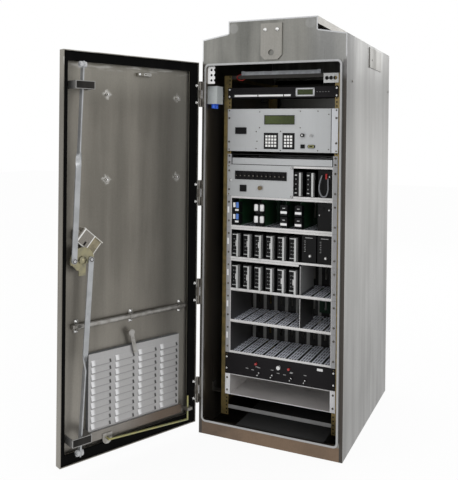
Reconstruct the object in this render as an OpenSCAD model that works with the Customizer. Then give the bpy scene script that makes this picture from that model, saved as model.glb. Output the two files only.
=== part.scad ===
// Roadside signal control cabinet with an open front door and a 19 inch rack
// Millimetres, Z up, front towards -Y, origin on the ground under the centre of the anchor holes

/* [Housing] */
// Width over the side walls
cab_w = 610; // [590:1:700]
// Depth between the front sheet and the rear sheet
cab_d = 780; // [740:1:900]
// Thickness of the aluminium sheet
sheet = 3.2; // [2.4:0.1:4]
// Height of the plinth under each door opening
plinth_h = 55; // [50:1:90]
// Height of the header between the opening and the eaves
header_h = 100; // [90:1:160]
// Room between the top of the rack units and the opening's top
headroom = 91; // [80:1:140]
// Rise of each roof slope from the eaves to the hood
roof_rise = 20; // [10:1:40]
// Width of the vent hood on the roof
hood_w = 377; // [320:1:450]
// Height of the hood above the roof deck
hood_h = 50.6; // [44:0.2:80]
// Height of the air gap under the hood's sides
vent_gap = 22; // [12:1:34]
// How far the lip round an opening stands in front of its sheet
lip_out = 11.5; // [9:0.5:14]
// Width of the lip's edge
lip_w = 8; // [5:0.5:10]
// Corner radius of the opening's lip
lip_r = 20; // [14:1:30]
// Distance from the lip to the side of the housing
lip_margin = 15; // [13:0.5:20]

/* [Anchors] */
// Spacing of the anchor holes across the cabinet
anchor_x = 470; // [420:1:500]
// Spacing of the anchor holes front to back
anchor_y = 640; // [560:1:660]
// Radius of an anchor hole
anchor_r = 10.5; // [8:0.5:14]
// Width of the floor flange inside the walls
floor_flange = 110; // [100:1:150]

/* [Rack] */
// Height of one rack unit
rack_u = 44.45; // [42:0.05:48]
// Width of a rack panel
rack_w = 482.6; // [470:0.2:490]
// Distance from the front sheet to the rack's front
rack_setback = 117.6; // [100:1:160]
// Height of the lowest rack panel above the plinth
rack_lift = 77; // [66:1:110]
// Room between the rack cage and the rear sheet
cage_room = 118.4; // [90:0.2:200]
// Thickness of the steel of the rack cage
post_t = 3; // [2:0.5:4]
// Width of a rack post's flange
post_w = 33; // [30:1:36]
// Thickness of a front panel
panel_t = 3; // [2:0.5:4]
// Depth of a card file
file_d = 231; // [200:1:260]
// Sheet thickness of a card file
file_t = 1.6; // [1:0.2:2.4]
// Travel of the document drawer
drawer_travel = 220; // [150:5:230]

/* [Door] */
// Angle at which the front door stands open
door_open = 114.6; // [60:0.1:150]
// Depth of the door pan
door_t = 30; // [28:0.5:36]
// Radius of a hinge knuckle
knuckle_r = 6; // [5:0.5:7]
// Height of a hinge
hinge_h = 105; // [80:1:120]
// Thickness of the door gasket
gasket_t = 8; // [5:0.5:10]
// Width of the flange and gasket on the hinge side, top and bottom
band_w = 38; // [32:1:44]
// Width of the flange and gasket on the latch side
band_free = 20; // [17:0.5:24]

/* [Latch] */
// Throw radius of the latch cam
cam_throw = 33; // [26:1:36]
// Thickness of the latch cam
cam_t = 5; // [4:0.5:6]
// Width of a latch rod
rod_w = 20; // [18:1:26]
// Thickness of a latch rod
rod_t = 5; // [4:0.5:6]
// Radius of a latch roller
roller_r = 11; // [8:0.5:12]
// Diameter of the latch shaft
shaft_d = 20; // [16:1:24]
// Running clearance of a pin or shaft in its hole
run_clear = 0.05; // [0.02:0.01:0.1]

/* [Filter and stay] */
// Thickness of the air filter pad
filter_t = 15; // [10:1:16]
// Width of the louvred filter plate
louvre_w = 403; // [360:1:420]
// Height of the louvred filter plate
louvre_h = 290; // [240:1:310]
// Rows of louvres
louvre_rows = 10; // [8:1:11]
// Columns of louvres
louvre_cols = 4; // [3:1:4]
// Diameter of the stay rod
stay_d = 8; // [6:0.5:9]

/* [Hidden] */
$fn = 48;
over = 1;
half = 0.5;
gap = 0.4;

// Rack stack, counted in rack units from the bottom
tray_u = 2;
power_u = 2;
file_u = 3;
file_count = 6;
drawer_u = 1;
controller_u = 4;
display_u = 1;
blank_u = 1;
drawer_gap = 12;
file_h = file_u * rack_u;
z_tray = plinth_h + rack_lift;
z_power = z_tray + tray_u * rack_u;
z_files = z_power + power_u * rack_u;
z_drawer = z_files + file_count * file_h;
z_controller = z_drawer + drawer_u * rack_u + drawer_gap;
z_display = z_controller + (controller_u + blank_u) * rack_u;
z_stack = z_display + display_u * rack_u;
function z_file(row) = z_files + row * file_h;

// Main heights and planes of the housing
half_w = cab_w / 2;
face_y = -cab_d / 2;
wall_x = half_w - sheet;
open_top = z_stack + headroom;
eave_z = open_top + header_h;
wall_top = eave_z - sheet / 2;
ridge_z = eave_z + roof_rise;
hood_z = ridge_z + hood_h;
hood_x = hood_w / 2;
lip_x = half_w - lip_margin;
rack_y = face_y + rack_setback;
rack_x = rack_w / 2;

// Roof deck slots under the hood
deck_slots = 9;
deck_slot_w = 30;
deck_slot_share = 0.7;

// Lifting plates on the headers
lift_w = 90;
lift_t = 6;
lift_foot = 2;
lift_h = 144;
lift_chamfer = 18;
lift_hole_r = 12;
lift_hole_z = 28;

// Cover plate on the right wall
cover_y0 = -31;
cover_l = 231;
cover_h = 86;
cover_drop = 10;
cover_t = 3;
cover_hole_r = 5;
cover_hole_y = 46;
cover_hole_share = 0.4;

// Door frame of reference, with the hinge axis at its origin
hinge_out = 6;
hinge_x = -half_w - hinge_out;
hinge_y = face_y - hinge_out;
door_clear = 3;
door_u0 = 8;
door_u1 = lip_x + door_clear + sheet - hinge_x;
door_z0 = plinth_h - door_clear - sheet;
door_z1 = open_top + door_clear + sheet;
gasket_gap = 0.5;
rim_over = lip_out - hinge_out + gasket_gap;
skin_v = sheet - door_t;
flange_v = -rim_over - gasket_t - sheet;
band_u0 = door_u0 + band_w;
band_u1 = door_u1 - band_free;
band_z0 = door_z0 + band_w;
band_z1 = door_z1 - band_w;

// Hinges
hinge_leaf_t = 3;
hinge_leaf_w = 14;
hinge_pin_r = 3;
hinge_count = 4;
hinge_end = 130;
hinge_step = (door_z1 - door_z0 - 2 * hinge_end) / (hinge_count - 1);
function hinge_z(k) = door_z0 + hinge_end + k * hinge_step;

// Weld studs and the small bracket on the door skin
stud_r = 4;
stud_l = 10;
stud_nut_r = 8;
stud_nut_h = 5;
stud_u0 = 100;
stud_span = 318;
stud_drop = 150;
tab_w = 62;
tab_d = 14;
tab_h = 11;
tab_u = 231;
tab_drop = 72;

// Latch
cam_free = 69;
cam_u = door_u1 - cam_free;
cam_rise = 733;
cam_z = door_z0 + cam_rise;
rod_v = 24;
rod_v0 = rod_v - rod_t / 2;
cam_gap = 1;
cam_v0 = rod_v0 - cam_gap - cam_t;
cam_r = 46;
cam_tab_h = 55;
cam_tab_w = 27;
cam_step = 20;
cam_side = 14;
pin_r = 5;
pin_head_r = 9;
pin_head_t = 4;
rod_end_gap = 7;
rod_end_u = cam_u + rod_end_gap;
rod_end_drop = 40;
rod_end_rise = 36;
rod_top_z = door_z1 - rod_end_drop;
rod_foot_z = door_z0 + rod_end_rise;
twist_l = 60;
twist_up = 390;
twist_down = 395;
axle_r = 4;
axle_inset = 12;
roller_w = 9;
roller_gap = 0.5;
axle_l = rod_t + 2 * (roller_w + 2 * roller_gap + rod_t / 2);
bush_r = 17;
bush_t = 6;
shaft_r = shaft_d / 2;

// Rod guides
guide_u0 = cam_u - 33;
guide_w = 76;
guide_t = 3;
guide_foot = 16;
guide_v = 42;
guide_h = 29;
guide_top_drop = 139;
guide_low_rise = 80;

// Handle on the outside
handle_bar_r = 9;
handle_reach = 150;
handle_off = 34;
handle_boss_r = 21;
handle_boss_t = 14;

// Lock case and its bolt
lock_l = 97;
lock_w = 58;
lock_back = 34;
lock_u = cam_u - lock_back;
lock_lift = 61;
lock_turn = 40.4;
lock_v = 8;
lock_plate_t = 3;
lock_step = 9;
lock_step_share = 0.42;
lock_bolt_w = 20;
lock_bolt_l = 12;
lock_bolt_t = 14;
lock_core_r = 12;
lock_core_out = 5;

// Louvred filter plate, filter, trough, bar and turn latch
louvre_u0 = 90;
louvre_lift = 87;
louvre_z0 = door_z0 + louvre_lift;
louvre_t = 2;
louvre_v = skin_v + filter_t + gap;
louvre_hood_l = 80;
louvre_hood_h = 18;
louvre_hood_d = 7;
louvre_cheek = 2;
louvre_edge = 15;
louvre_top = 25;
louvre_step_z = (louvre_h - louvre_edge - louvre_top - louvre_hood_h) / (louvre_rows - 1);
louvre_step_u = louvre_w / louvre_cols;
trough_side = 11.5;
trough_t = 2;
trough_out = 6;
trough_lip = 4;
trough_apron = 30;
trough_v = louvre_v + louvre_t + trough_out;
bar_r = 9.5;
bar_u0 = 62;
bar_l = 496;
bar_rise = 487;
bar_z = door_z0 + bar_rise;
bar_shares = [0.04, 0.5, 0.96];
clamp_w = 18;
clamp_t = 2.5;
clamp_foot = 14;
turn_u = 318;
turn_drop = 60;
turn_r = 13;
turn_l = 82;
turn_w = 16;
turn_t = 3;
turn_lean = 13;
turn_pin_r = 5;

// Stay rod, its eye bracket and its clip
stay_u = 418;
stay_rise = 54;
stay_tip_u = 58;
stay_bend_drop = 26;
stay_tip_h = 96;
stay_elbow_share = 1.06;
stay_v = 12;
stay_r = stay_d / 2;
stay_eye_w = 40;
stay_eye_t = 3;
stay_pin_l = stay_v - trough_v - gap;
clip_hole = 20;
clip_shift = 3;
clip_t = 2;
clip_rise = 66;
clip_h = 12;

// Rack cage
cage_d = cab_d - rack_setback - cage_room;
cage_foot_drop = 89;
cage_foot_z = z_tray - cage_foot_drop;
cage_rail_h = 15;
cage_low_drop = 60;
cage_top_drop = 39;
cage_top_z = open_top - cage_top_drop;
post_over = 18.7;
post_x = rack_x + post_over;
bracket_h = 40;
bracket_t = 4;
bracket_rise = 90;

// Card files
file_side = 5;
file_w = 2 * (post_x - post_w - file_side);
file_lip = 9;
file_slack = 0.8;
ear_t = 1.6;
slot_count = 8;
file_margin = 14.4;
slot_pitch = (file_w - 2 * file_t - 2 * file_margin) / slot_count;
function slot_x(k) = -file_w / 2 + file_t + file_margin + (k + half) * slot_pitch;
slot_w = 10;
slot_y0 = 20;
slot_l = 190;
back_t = 3;
back_slot_w = 9;
back_slot_share = 0.55;
divider_gap = 8;
divider_d = 180;

// Lamp, bracket, switch plate and service box at the top of the opening
lamp_x0 = -166;
lamp_l = 319;
lamp_h = 15;
lamp_d = 30;
lamp_cap = 14;
lamp_cap_grow = 2;
plate_w = 62;
plate_h = 39;
plate_hole_r = 8;
plate_hole_shares = [0.22, 0.5, 0.78];
switch_w = 52;
switch_h = 71;
switch_t = 2;
switch_drop = 10;
switch_hole_r = 5;
switch_hole_share = 0.3;
switch_hole_shares = [0.2, 0.5, 0.8];
box_w = 48;
box_d = 56;
box_h = 74;
box_set = 34;
box_drop = 88;
box_knob_r = 9;
box_knob_h = 18;
box_knob_shares = [0.28, 0.72];

// Display panel and controller
ear_slot_r = 3.4;
ear_inset = 7;
window_t = 1.5;
small_lcd_x = 68;
small_lcd_w = 70;
small_lcd_h = 26;
led_x0 = -206;
led_count = 32;
led_step = 8;
led_r = 2;
led_rise = 28;
case_side = 7;
case_w = file_w - 2 * case_side;
controller_d = 270;
display_d = 90;
lcd_x0 = -74;
lcd_w = 134;
lcd_h = 39;
lcd_rise = 112;
bezel = 4;
key_rows = 4;
key_rise = 20;
key_size = 9;
key_pitch = 12.9;
key_t = 3;
pad_x = [-67, 15.2];
pad_cols = [4, 3];
block_x0 = -204;
block_w = 49;
block_h = 28;
block_rise = 72;
socket_x = [95, 132];
socket_side = 16;
port_w = 30;
port_h = 14;
port_r = 6;
socket_rise = 24;
socket_t = 6;
fuse_r = 8;
fuse_l = 11;
toggle_rise = 69;
bush_bore_r = 4.4;
bush_wall = 1.8;
bush_l = 5;
lever_ball_r = 4.1;
lever_r = 2;
lever_tip_r = 2.8;
lever_l = 17;
lever_tilt = 12;

// Drawer
sleeve_side = 2;
sleeve_w = file_w - 2 * sleeve_side;
drawer_keep = 80;
sleeve_d = drawer_travel + drawer_keep;
sleeve_t = 1.6;
drawer_lip_h = 21;
drawer_lip_rise = 5;
drawer_wall = 2;
drawer_back = 12;
drawer_play = 0.3;

// Breaker panel
breaker_ear = 9.3;
breaker_x0 = breaker_ear - rack_x;
breaker_panel_w = 288;
breaker_count = 12;
breaker_pitch = 19.3;
breaker_w = 18.6;
breaker_h = 36;
breaker_rise = 71;
breaker_first = 28;
breaker_d = 60;
breaker_face = 4;
breaker_lever_w = 6;
breaker_lever_h = 14;
breaker_lever_d = 7;
outlet_x = 52;
outlet_w = 28;
outlet_rise = 20;
pilot_x = 144;
pilot_r = 9;
pilot_rise = 38;

// Plug-in modules
module_w = 42;
module_h = 108;
module_d = 160;
module_shift = 18.2;
module_set = 8;
module_count = 6;
flasher_shares = [0.669, 0.787];
flasher_w = 35;
bow_off = 12;
bow_w = 8;
bow_d = 22;
bow_t = 4;
bow_web = 1.5;
flasher_bow_off = 13.4;
bow_inset = 2;
bow_z0 = file_lip + bow_inset;
bow_h = module_h - bow_z0 - bow_inset;
unit_w = 60;
unit_h = 118;
unit_side = 1.9;
unit_gap = 6;
unit_x1 = file_w / 2 - file_t - unit_side - unit_w;
unit_x0 = unit_x1 - unit_gap - unit_w;
card_t = 2;
card_shares = [0.043, 0.28, 0.527, 0.669];
function file_x(share) = (share - half) * file_w;
card_h = 116;
card_d = 170;
relay_w = 30;
relay_d = 34;
relay_h = 44;
relay_gap = 5;

// Power panel and tray
power_d = 120;
lamp_xs = [-98, 47];
lamp_rise = 59;
lens_r = 5;
lens_l = 9;
fuse_x = 3;
toggle_xs = [-86, -27, 56, 116];
power_toggle_rise = 22;
tray_d = 260;
tray_t = 2;
tray_wall = 30;

// Rear door latch
rear_cam_l = 60;
rear_cam_w = 30;
rear_cam_gap = 2;
rear_cam_v = hinge_out + sheet + rear_cam_gap;

module box(x0, x1, y0, y1, z0, z1) {
  translate([x0, y0, z0]) cube([x1 - x0, y1 - y0, z1 - z0]);
}

// Plate drawn in X and Z that runs from y0 to y0 + t
module upright(y0, t) {
  translate([0, y0 + t, 0]) rotate([90, 0, 0]) linear_extrude(t) children();
}

// Bar drawn in Y and Z that runs from x0 to x0 + l
module along_x(x0, l) {
  translate([x0, 0, 0]) rotate([90, 0, 90]) linear_extrude(l) children();
}

// Round bar along Y from y0 to y0 + l
module pin_y(x, z, r, y0, l) {
  translate([x, y0, z]) rotate([-90, 0, 0]) cylinder(r = r, h = l);
}

// Round bar along X from x0 to x0 + l
module pin_x(y, z, r, x0, l) {
  translate([x0, y, z]) rotate([0, 90, 0]) cylinder(r = r, h = l);
}

module rect(x0, x1, z0, z1) {
  translate([x0, z0]) square([x1 - x0, z1 - z0]);
}

module round_rect(x0, x1, z0, z1, r) {
  rect(x0 + r, x1 - r, z0, z1);
  rect(x0, x1, z0 + r, z1 - r);
  for (x = [x0 + r, x1 - r], z = [z0 + r, z1 - r]) translate([x, z]) circle(r);
}

// Carries closed-door coordinates to the open front door
module on_door() {
  translate([hinge_x, hinge_y, 0]) rotate(-door_open) children();
}

// Carries closed-door coordinates to the closed rear door, hung on the same side as the front one
module on_rear() {
  mirror([0, 1, 0]) translate([hinge_x, hinge_y, 0]) children();
}

module both_faces() {
  children();
  rotate(180) children();
}

module lip_outline(inset) {
  round_rect(-lip_x + inset, lip_x - inset, plinth_h + inset, open_top - inset, lip_r - inset);
}

module gable_outline() {
  polygon([[-half_w, 0], [half_w, 0], [half_w, eave_z], [hood_x, ridge_z], [hood_x, hood_z],
           [-hood_x, hood_z], [-hood_x, ridge_z], [-half_w, eave_z]]);
}

module roof_outline() {
  polygon([[-half_w, eave_z], [-hood_x, ridge_z], [hood_x, ridge_z], [half_w, eave_z],
           [half_w, eave_z - sheet], [hood_x, ridge_z - sheet], [-hood_x, ridge_z - sheet],
           [-half_w, eave_z - sheet]]);
}

module housing_shell() {
  color("#b9b4aa") difference() {
    union() {
      for (s = [-1, 1]) {
        box(min(s * half_w, s * wall_x), max(s * half_w, s * wall_x), face_y, -face_y, 0, wall_top);
      }
      both_faces() {
        upright(face_y, sheet) difference() {
          gable_outline();
          lip_outline(lip_w);
        }
        upright(face_y - lip_out, lip_out + sheet) difference() {
          lip_outline(0);
          lip_outline(lip_w);
        }
      }
      upright(face_y, cab_d) roof_outline();
      box(-half_w, half_w, face_y, -face_y, 0, sheet);
    }
    box(-half_w + floor_flange, half_w - floor_flange, face_y + floor_flange, -face_y - floor_flange,
        -over, sheet + over);
    for (x = [-anchor_x, anchor_x] * half, y = [-anchor_y, anchor_y] * half) {
      translate([x, y, -over]) cylinder(r = anchor_r, h = sheet + 2 * over);
    }
    deck_step = cab_d / (deck_slots + 1);
    for (k = [1 : deck_slots]) {
      box(-hood_x * deck_slot_share, hood_x * deck_slot_share, face_y + k * deck_step - deck_slot_w / 2,
          face_y + k * deck_step + deck_slot_w / 2, ridge_z - sheet - over, ridge_z + over);
    }
  }
}

module roof_hood() {
  color("#c4c0b8") upright(face_y + sheet, cab_d - 2 * sheet) difference() {
    rect(-hood_x, hood_x, ridge_z + vent_gap, hood_z);
    rect(-hood_x + sheet, hood_x - sheet, ridge_z, hood_z - sheet);
  }
}

module lifting_plates() {
  z0 = door_z1 + lift_foot;
  color("#bdb8ae") both_faces() difference() {
    upright(face_y - lift_t, lift_t) {
      polygon([[-lift_w / 2, z0 + lift_chamfer], [-lift_w / 2 + lift_chamfer, z0],
               [lift_w / 2 - lift_chamfer, z0], [lift_w / 2, z0 + lift_chamfer],
               [lift_w / 2, z0 + lift_h], [-lift_w / 2, z0 + lift_h]]);
    }
    pin_y(0, z0 + lift_hole_z, lift_hole_r, face_y - lift_t - over, lift_t + 2 * over);
  }
}

module cover_plate() {
  z1 = eave_z - cover_drop;
  color("#b4aea3") difference() {
    box(half_w, half_w + cover_t, cover_y0, cover_y0 + cover_l, z1 - cover_h, z1);
    pin_x(cover_y0 + cover_hole_y, z1 - cover_h + cover_hole_share * cover_h, cover_hole_r,
          half_w - over, cover_t + 2 * over);
  }
}

// Frame half of one hinge with its fixed pin, in closed-door coordinates
module frame_hinge(z) {
  seg = hinge_h / 3;
  plate_v = hinge_out - hinge_leaf_t;
  translate([0, 0, z - hinge_h / 2]) {
    cylinder(r = hinge_pin_r, h = hinge_h);
    for (k = [0, 2]) {
      translate([0, 0, k * seg]) {
        cylinder(r = knuckle_r, h = seg);
        box(0, knuckle_r + hinge_leaf_t, plate_v, hinge_out, 0, seg);
      }
    }
    box(knuckle_r + gap, knuckle_r + hinge_leaf_w, plate_v, hinge_out, 0, hinge_h);
  }
}

// Door half of one hinge, on the outer face of the pan's hinge-side wall
module door_hinge(z) {
  seg = hinge_h / 3;
  translate([0, 0, z - hinge_h / 2 + seg + gap]) difference() {
    union() {
      cylinder(r = knuckle_r, h = seg - 2 * gap);
      box(0, door_u0, -hinge_leaf_t, 0, 0, seg - 2 * gap);
      box(door_u0 - hinge_leaf_t, door_u0, flange_v, 0, 0, seg - 2 * gap);
    }
    translate([0, 0, -over]) cylinder(r = hinge_pin_r + run_clear, h = seg + over);
  }
}

module frame_hinges() {
  color("#8f8c86") for (s = [0, 1]) mirror([0, s, 0]) {
    translate([hinge_x, hinge_y, 0]) for (k = [0 : hinge_count - 1]) frame_hinge(hinge_z(k));
  }
}

module door_hinges() {
  color("#8f8c86") on_door() for (k = [0 : hinge_count - 1]) door_hinge(hinge_z(k));
}

module pan_form() {
  difference() {
    box(door_u0, door_u1, -door_t, 0, door_z0, door_z1);
    box(door_u0 + sheet, door_u1 - sheet, skin_v, flange_v, door_z0 + sheet, door_z1 - sheet);
    box(door_u0 + sheet, door_u1 - sheet, flange_v + sheet, over, door_z0 + sheet, door_z1 - sheet);
    box(band_u0, band_u1, skin_v, over, band_z0, band_z1);
  }
}

module gasket_form() {
  upright(-rim_over - gasket_t, gasket_t) difference() {
    rect(door_u0 + sheet, door_u1 - sheet, door_z0 + sheet, door_z1 - sheet);
    rect(band_u0, band_u1, band_z0, band_z1);
  }
}

module stud(u, z) {
  pin_y(u, z, stud_r, skin_v, stud_l);
  translate([u, skin_v, z]) rotate([-90, 0, 0]) cylinder(r = stud_nut_r, h = stud_nut_h, $fn = 6);
}

module shaft_hole() {
  pin_y(cam_u, cam_z, shaft_r + run_clear, -door_t - over, door_t);
}

module door_pan() {
  color("#aaa396") on_door() difference() {
    union() {
      pan_form();
      for (u = [stud_u0, stud_u0 + stud_span], z = [0, stud_span]) {
        stud(u, door_z1 - stud_drop - z);
      }
      box(tab_u, tab_u + tab_w, skin_v, skin_v + tab_d, door_z1 - tab_drop, door_z1 - tab_drop + tab_h);
      pin_y(cam_u, cam_z, bush_r, skin_v, bush_t);
    }
    shaft_hole();
    at_lock() pin_y(0, 0, lock_core_r + run_clear, -door_t - over, door_t);
  }
}

module door_gasket() {
  color("#161616") on_door() gasket_form();
}

module rear_door_pan() {
  color("#aaa396") on_rear() {
    difference() {
      union() {
        pan_form();
        pin_y(cam_u, cam_z, bush_r, skin_v, bush_t);
      }
      shaft_hole();
    }
    for (k = [0 : hinge_count - 1]) door_hinge(hinge_z(k));
  }
}

module rear_gasket() {
  color("#161616") on_rear() gasket_form();
}

// Swing handle on the outer skin with its arm towards the hinge, and its shaft
module handle_form(shaft_end) {
  v0 = -door_t - gap;
  translate([cam_u, 0, cam_z]) {
    pin_y(0, 0, shaft_r, v0 - handle_boss_t, shaft_end - v0 + handle_boss_t);
    pin_y(0, 0, handle_boss_r, v0 - handle_boss_t, handle_boss_t);
    pin_y(0, 0, handle_bar_r, v0 - handle_off, handle_off);
    pin_x(v0 - handle_off, 0, handle_bar_r, -handle_reach, handle_reach);
    translate([0, v0 - handle_off, 0]) sphere(handle_bar_r);
    translate([-handle_reach, v0 - handle_off, 0]) sphere(handle_bar_r);
  }
}

module latch_handle() {
  color("#a9a9a7") on_door() handle_form(cam_v0);
}

module rear_handle() {
  color("#a9a9a7") on_rear() {
    handle_form(rear_cam_v);
    translate([cam_u, 0, cam_z]) {
      box(-rear_cam_w / 2, rear_cam_w / 2, rear_cam_v, rear_cam_v + cam_t, -rear_cam_l, rear_cam_w / 2);
    }
  }
}

module cam_outline() {
  intersection() {
    circle(cam_r);
    rect(-cam_r, cam_r, -cam_side, cam_r);
  }
  polygon([[cam_r - cam_side, 0], [cam_r - cam_side / 2, -cam_side], [cam_step, -cam_tab_h + cam_step],
           [cam_tab_w - cam_side, -cam_tab_h + cam_step], [cam_tab_w - cam_side, -cam_tab_h],
           [-cam_side, -cam_tab_h], [-cam_side, -cam_side], [-cam_r + cam_side, -cam_side],
           [-cam_r + cam_side, 0]]);
}

module latch_cam() {
  color("#b0a878") on_door() translate([cam_u, 0, cam_z]) {
    upright(cam_v0, cam_t) cam_outline();
    pin_y(0, 0, shaft_r, cam_v0 + cam_t, rod_t);
    for (s = [-1, 1]) {
      pin_y(s * cam_throw, 0, pin_r, cam_v0, cam_t + cam_gap + rod_t + gap);
      pin_y(s * cam_throw, 0, pin_head_r, cam_v0 + cam_t + cam_gap + rod_t + gap, pin_head_t);
    }
  }
}

// Latch rod along +Z from its pin hole at the origin, turned edge-on past the twist
module rod_form(length, twist_z) {
  flat_l = twist_z - twist_l;
  difference() {
    union() {
      pin_y(0, 0, rod_w / 2, -rod_t / 2, rod_t);
      box(-rod_w / 2, rod_w / 2, -rod_t / 2, rod_t / 2, 0, flat_l);
      translate([0, 0, flat_l]) linear_extrude(twist_l, twist = 90, slices = 14, $fn = 4) {
        square([rod_w, rod_t], center = true);
      }
      box(-rod_t / 2, rod_t / 2, -rod_w / 2, rod_w / 2, twist_z, length);
    }
    pin_y(0, 0, pin_r + run_clear, -rod_t, 2 * rod_t);
  }
  pin_x(0, length - axle_inset, axle_r, -axle_l / 2, axle_l);
}

module roller_pair() {
  for (s = [-1, 1]) {
    x0 = s * (rod_t / 2 + roller_gap + roller_w / 2) - roller_w / 2;
    difference() {
      pin_x(0, 0, roller_r, x0, roller_w);
      pin_x(0, 0, axle_r + run_clear, x0 - over, roller_w + 2 * over);
    }
  }
}

// Lean of each rod from its cam pin to its guided end
upper_rise = rod_top_z - cam_z;
lower_fall = cam_z - rod_foot_z;
upper_lean = atan2(cam_u + cam_throw - rod_end_u, upper_rise);
lower_lean = atan2(rod_end_u - cam_u + cam_throw, lower_fall);
upper_l = upper_rise / cos(upper_lean);
lower_l = lower_fall / cos(lower_lean);

module at_upper() {
  translate([cam_u + cam_throw, rod_v, cam_z]) rotate([0, -upper_lean, 0]) children();
}

module at_lower() {
  translate([cam_u - cam_throw, rod_v, cam_z]) rotate([0, 180 - lower_lean, 0]) children();
}

module upper_rod() {
  color("#c9c9cc") on_door() at_upper() rod_form(upper_l, twist_up);
}

module lower_rod() {
  color("#c9c9cc") on_door() at_lower() rod_form(lower_l, twist_down);
}

module upper_rollers() {
  color("#dcdcda") on_door() at_upper() translate([0, 0, upper_l - axle_inset]) roller_pair();
}

module lower_rollers() {
  color("#dcdcda") on_door() at_lower() translate([0, 0, lower_l - axle_inset]) roller_pair();
}

// Hat-shaped strap that a rod runs through, with its foot starting at foot_u
module guide_strap(z0, foot_u) {
  translate([0, 0, z0]) linear_extrude(guide_h) {
    for (u = [guide_u0, guide_u0 + guide_w - guide_t]) {
      translate([u, skin_v]) square([guide_t, guide_v - skin_v]);
    }
    translate([guide_u0, guide_v - guide_t]) square([guide_w, guide_t]);
    translate([foot_u, skin_v]) square([guide_foot + guide_t, guide_t]);
  }
}

module rod_guides() {
  color("#a8a49c") on_door() {
    guide_strap(door_z1 - guide_top_drop, guide_u0 - guide_foot);
    guide_strap(door_z0 + guide_low_rise, guide_u0 + guide_w - guide_t);
  }
}

module at_lock() {
  translate([lock_u, 0, cam_z + lock_lift]) rotate([0, -lock_turn, 0]) children();
}

module lock_case() {
  color("#b3a98c") on_door() at_lock() {
    pin_y(0, 0, lock_core_r, -door_t - lock_core_out, door_t + lock_core_out);
    difference() {
      box(-lock_l / 2, lock_l / 2, skin_v, lock_v, -lock_w / 2, lock_w / 2);
      box(-lock_l / 2 - over, -lock_l / 2 + lock_step_share * lock_l, lock_v - lock_step, lock_v + over,
          -lock_w / 2 + lock_plate_t, lock_w / 2 - lock_plate_t);
    }
    box(lock_l / 2, lock_l / 2 + lock_bolt_l, lock_v - lock_step - lock_bolt_t, lock_v - lock_step,
        -lock_bolt_w / 2, lock_bolt_w / 2);
  }
}

module louvre(u, z) {
  along_x(u, louvre_hood_l) polygon([[louvre_v, z], [louvre_v + louvre_t, z],
    [louvre_v + louvre_t + louvre_hood_d, z - louvre_hood_h],
    [louvre_v + louvre_hood_d, z - louvre_hood_h]]);
  for (e = [u, u + louvre_hood_l - louvre_cheek]) {
    along_x(e, louvre_cheek) polygon([[louvre_v, z], [louvre_v + louvre_t, z],
      [louvre_v + louvre_t + louvre_hood_d, z - louvre_hood_h], [louvre_v, z - louvre_hood_h]]);
  }
}

module louvre_plate() {
  color("#c9c8c6") on_door() {
    difference() {
      box(louvre_u0, louvre_u0 + louvre_w, louvre_v, louvre_v + louvre_t, louvre_z0, louvre_z0 + louvre_h);
      for (c = [0 : louvre_cols - 1], r = [0 : louvre_rows - 1]) {
        u = louvre_u0 + (c + half) * louvre_step_u - louvre_hood_l / 2;
        z = louvre_z0 + louvre_edge + louvre_hood_h + r * louvre_step_z;
        box(u, u + louvre_hood_l, louvre_v - over, louvre_v + louvre_t + over, z - louvre_hood_h, z);
      }
    }
    for (c = [0 : louvre_cols - 1], r = [0 : louvre_rows - 1]) {
      louvre(louvre_u0 + (c + half) * louvre_step_u - louvre_hood_l / 2,
             louvre_z0 + louvre_edge + louvre_hood_h + r * louvre_step_z);
    }
  }
}

module air_filter() {
  color("#8d8f90") on_door() {
    box(louvre_u0, louvre_u0 + louvre_w, skin_v, skin_v + filter_t, louvre_z0, louvre_z0 + louvre_h);
  }
}

module filter_trough() {
  color("#a59c90") on_door() along_x(louvre_u0 - trough_side, louvre_w + 2 * trough_side) {
    translate([skin_v, louvre_z0 - trough_t]) square([trough_v - skin_v, trough_t]);
    translate([trough_v - trough_t, louvre_z0 - trough_apron]) square([trough_t, trough_apron + trough_lip]);
  }
}

module filter_bar() {
  v0 = skin_v + clamp_t + bar_r;
  color("#b2ada4") on_door() {
    pin_x(v0, bar_z, bar_r, bar_u0, bar_l);
    for (share = bar_shares) {
      along_x(bar_u0 + share * bar_l - clamp_w / 2, clamp_w) {
        translate([v0, bar_z]) circle(bar_r + clamp_t);
        translate([skin_v, bar_z - bar_r - clamp_t]) square([bar_r + clamp_t, 2 * (bar_r + clamp_t)]);
        translate([skin_v, bar_z - bar_r - clamp_foot]) square([clamp_t, 2 * (bar_r + clamp_foot)]);
      }
    }
  }
}

module filter_latch() {
  v0 = louvre_v + louvre_t + louvre_hood_d + gap;
  color("#a39d93") on_door() translate([turn_u, 0, bar_z - turn_drop]) {
    pin_y(0, 0, turn_pin_r, skin_v + gap, v0 + turn_t - skin_v - gap);
    pin_y(0, 0, turn_r, v0, turn_t);
    rotate([0, turn_lean, 0]) box(-turn_w / 2, turn_w / 2, v0, v0 + turn_t, -turn_l, 0);
  }
}

// Bent rod: a pin in the eye, a run along the door's foot and an upturned tip
module stay_rod() {
  run = stay_u - stay_tip_u;
  slope = atan2(stay_bend_drop, run);
  run_l = run / cos(slope);
  color("#b7ae6a") on_door() translate([stay_u, stay_v, door_z0 + stay_rise]) rotate([0, 180 - slope, 0]) {
    pin_y(0, 0, stay_r, -stay_pin_l, stay_pin_l);
    sphere(stay_elbow_share * stay_r);
    pin_x(0, 0, stay_r, 0, run_l);
    translate([run_l, 0, 0]) {
      sphere(stay_elbow_share * stay_r);
      rotate([0, 180 + slope, 0]) cylinder(r = stay_r, h = stay_tip_h);
    }
  }
}

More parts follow.
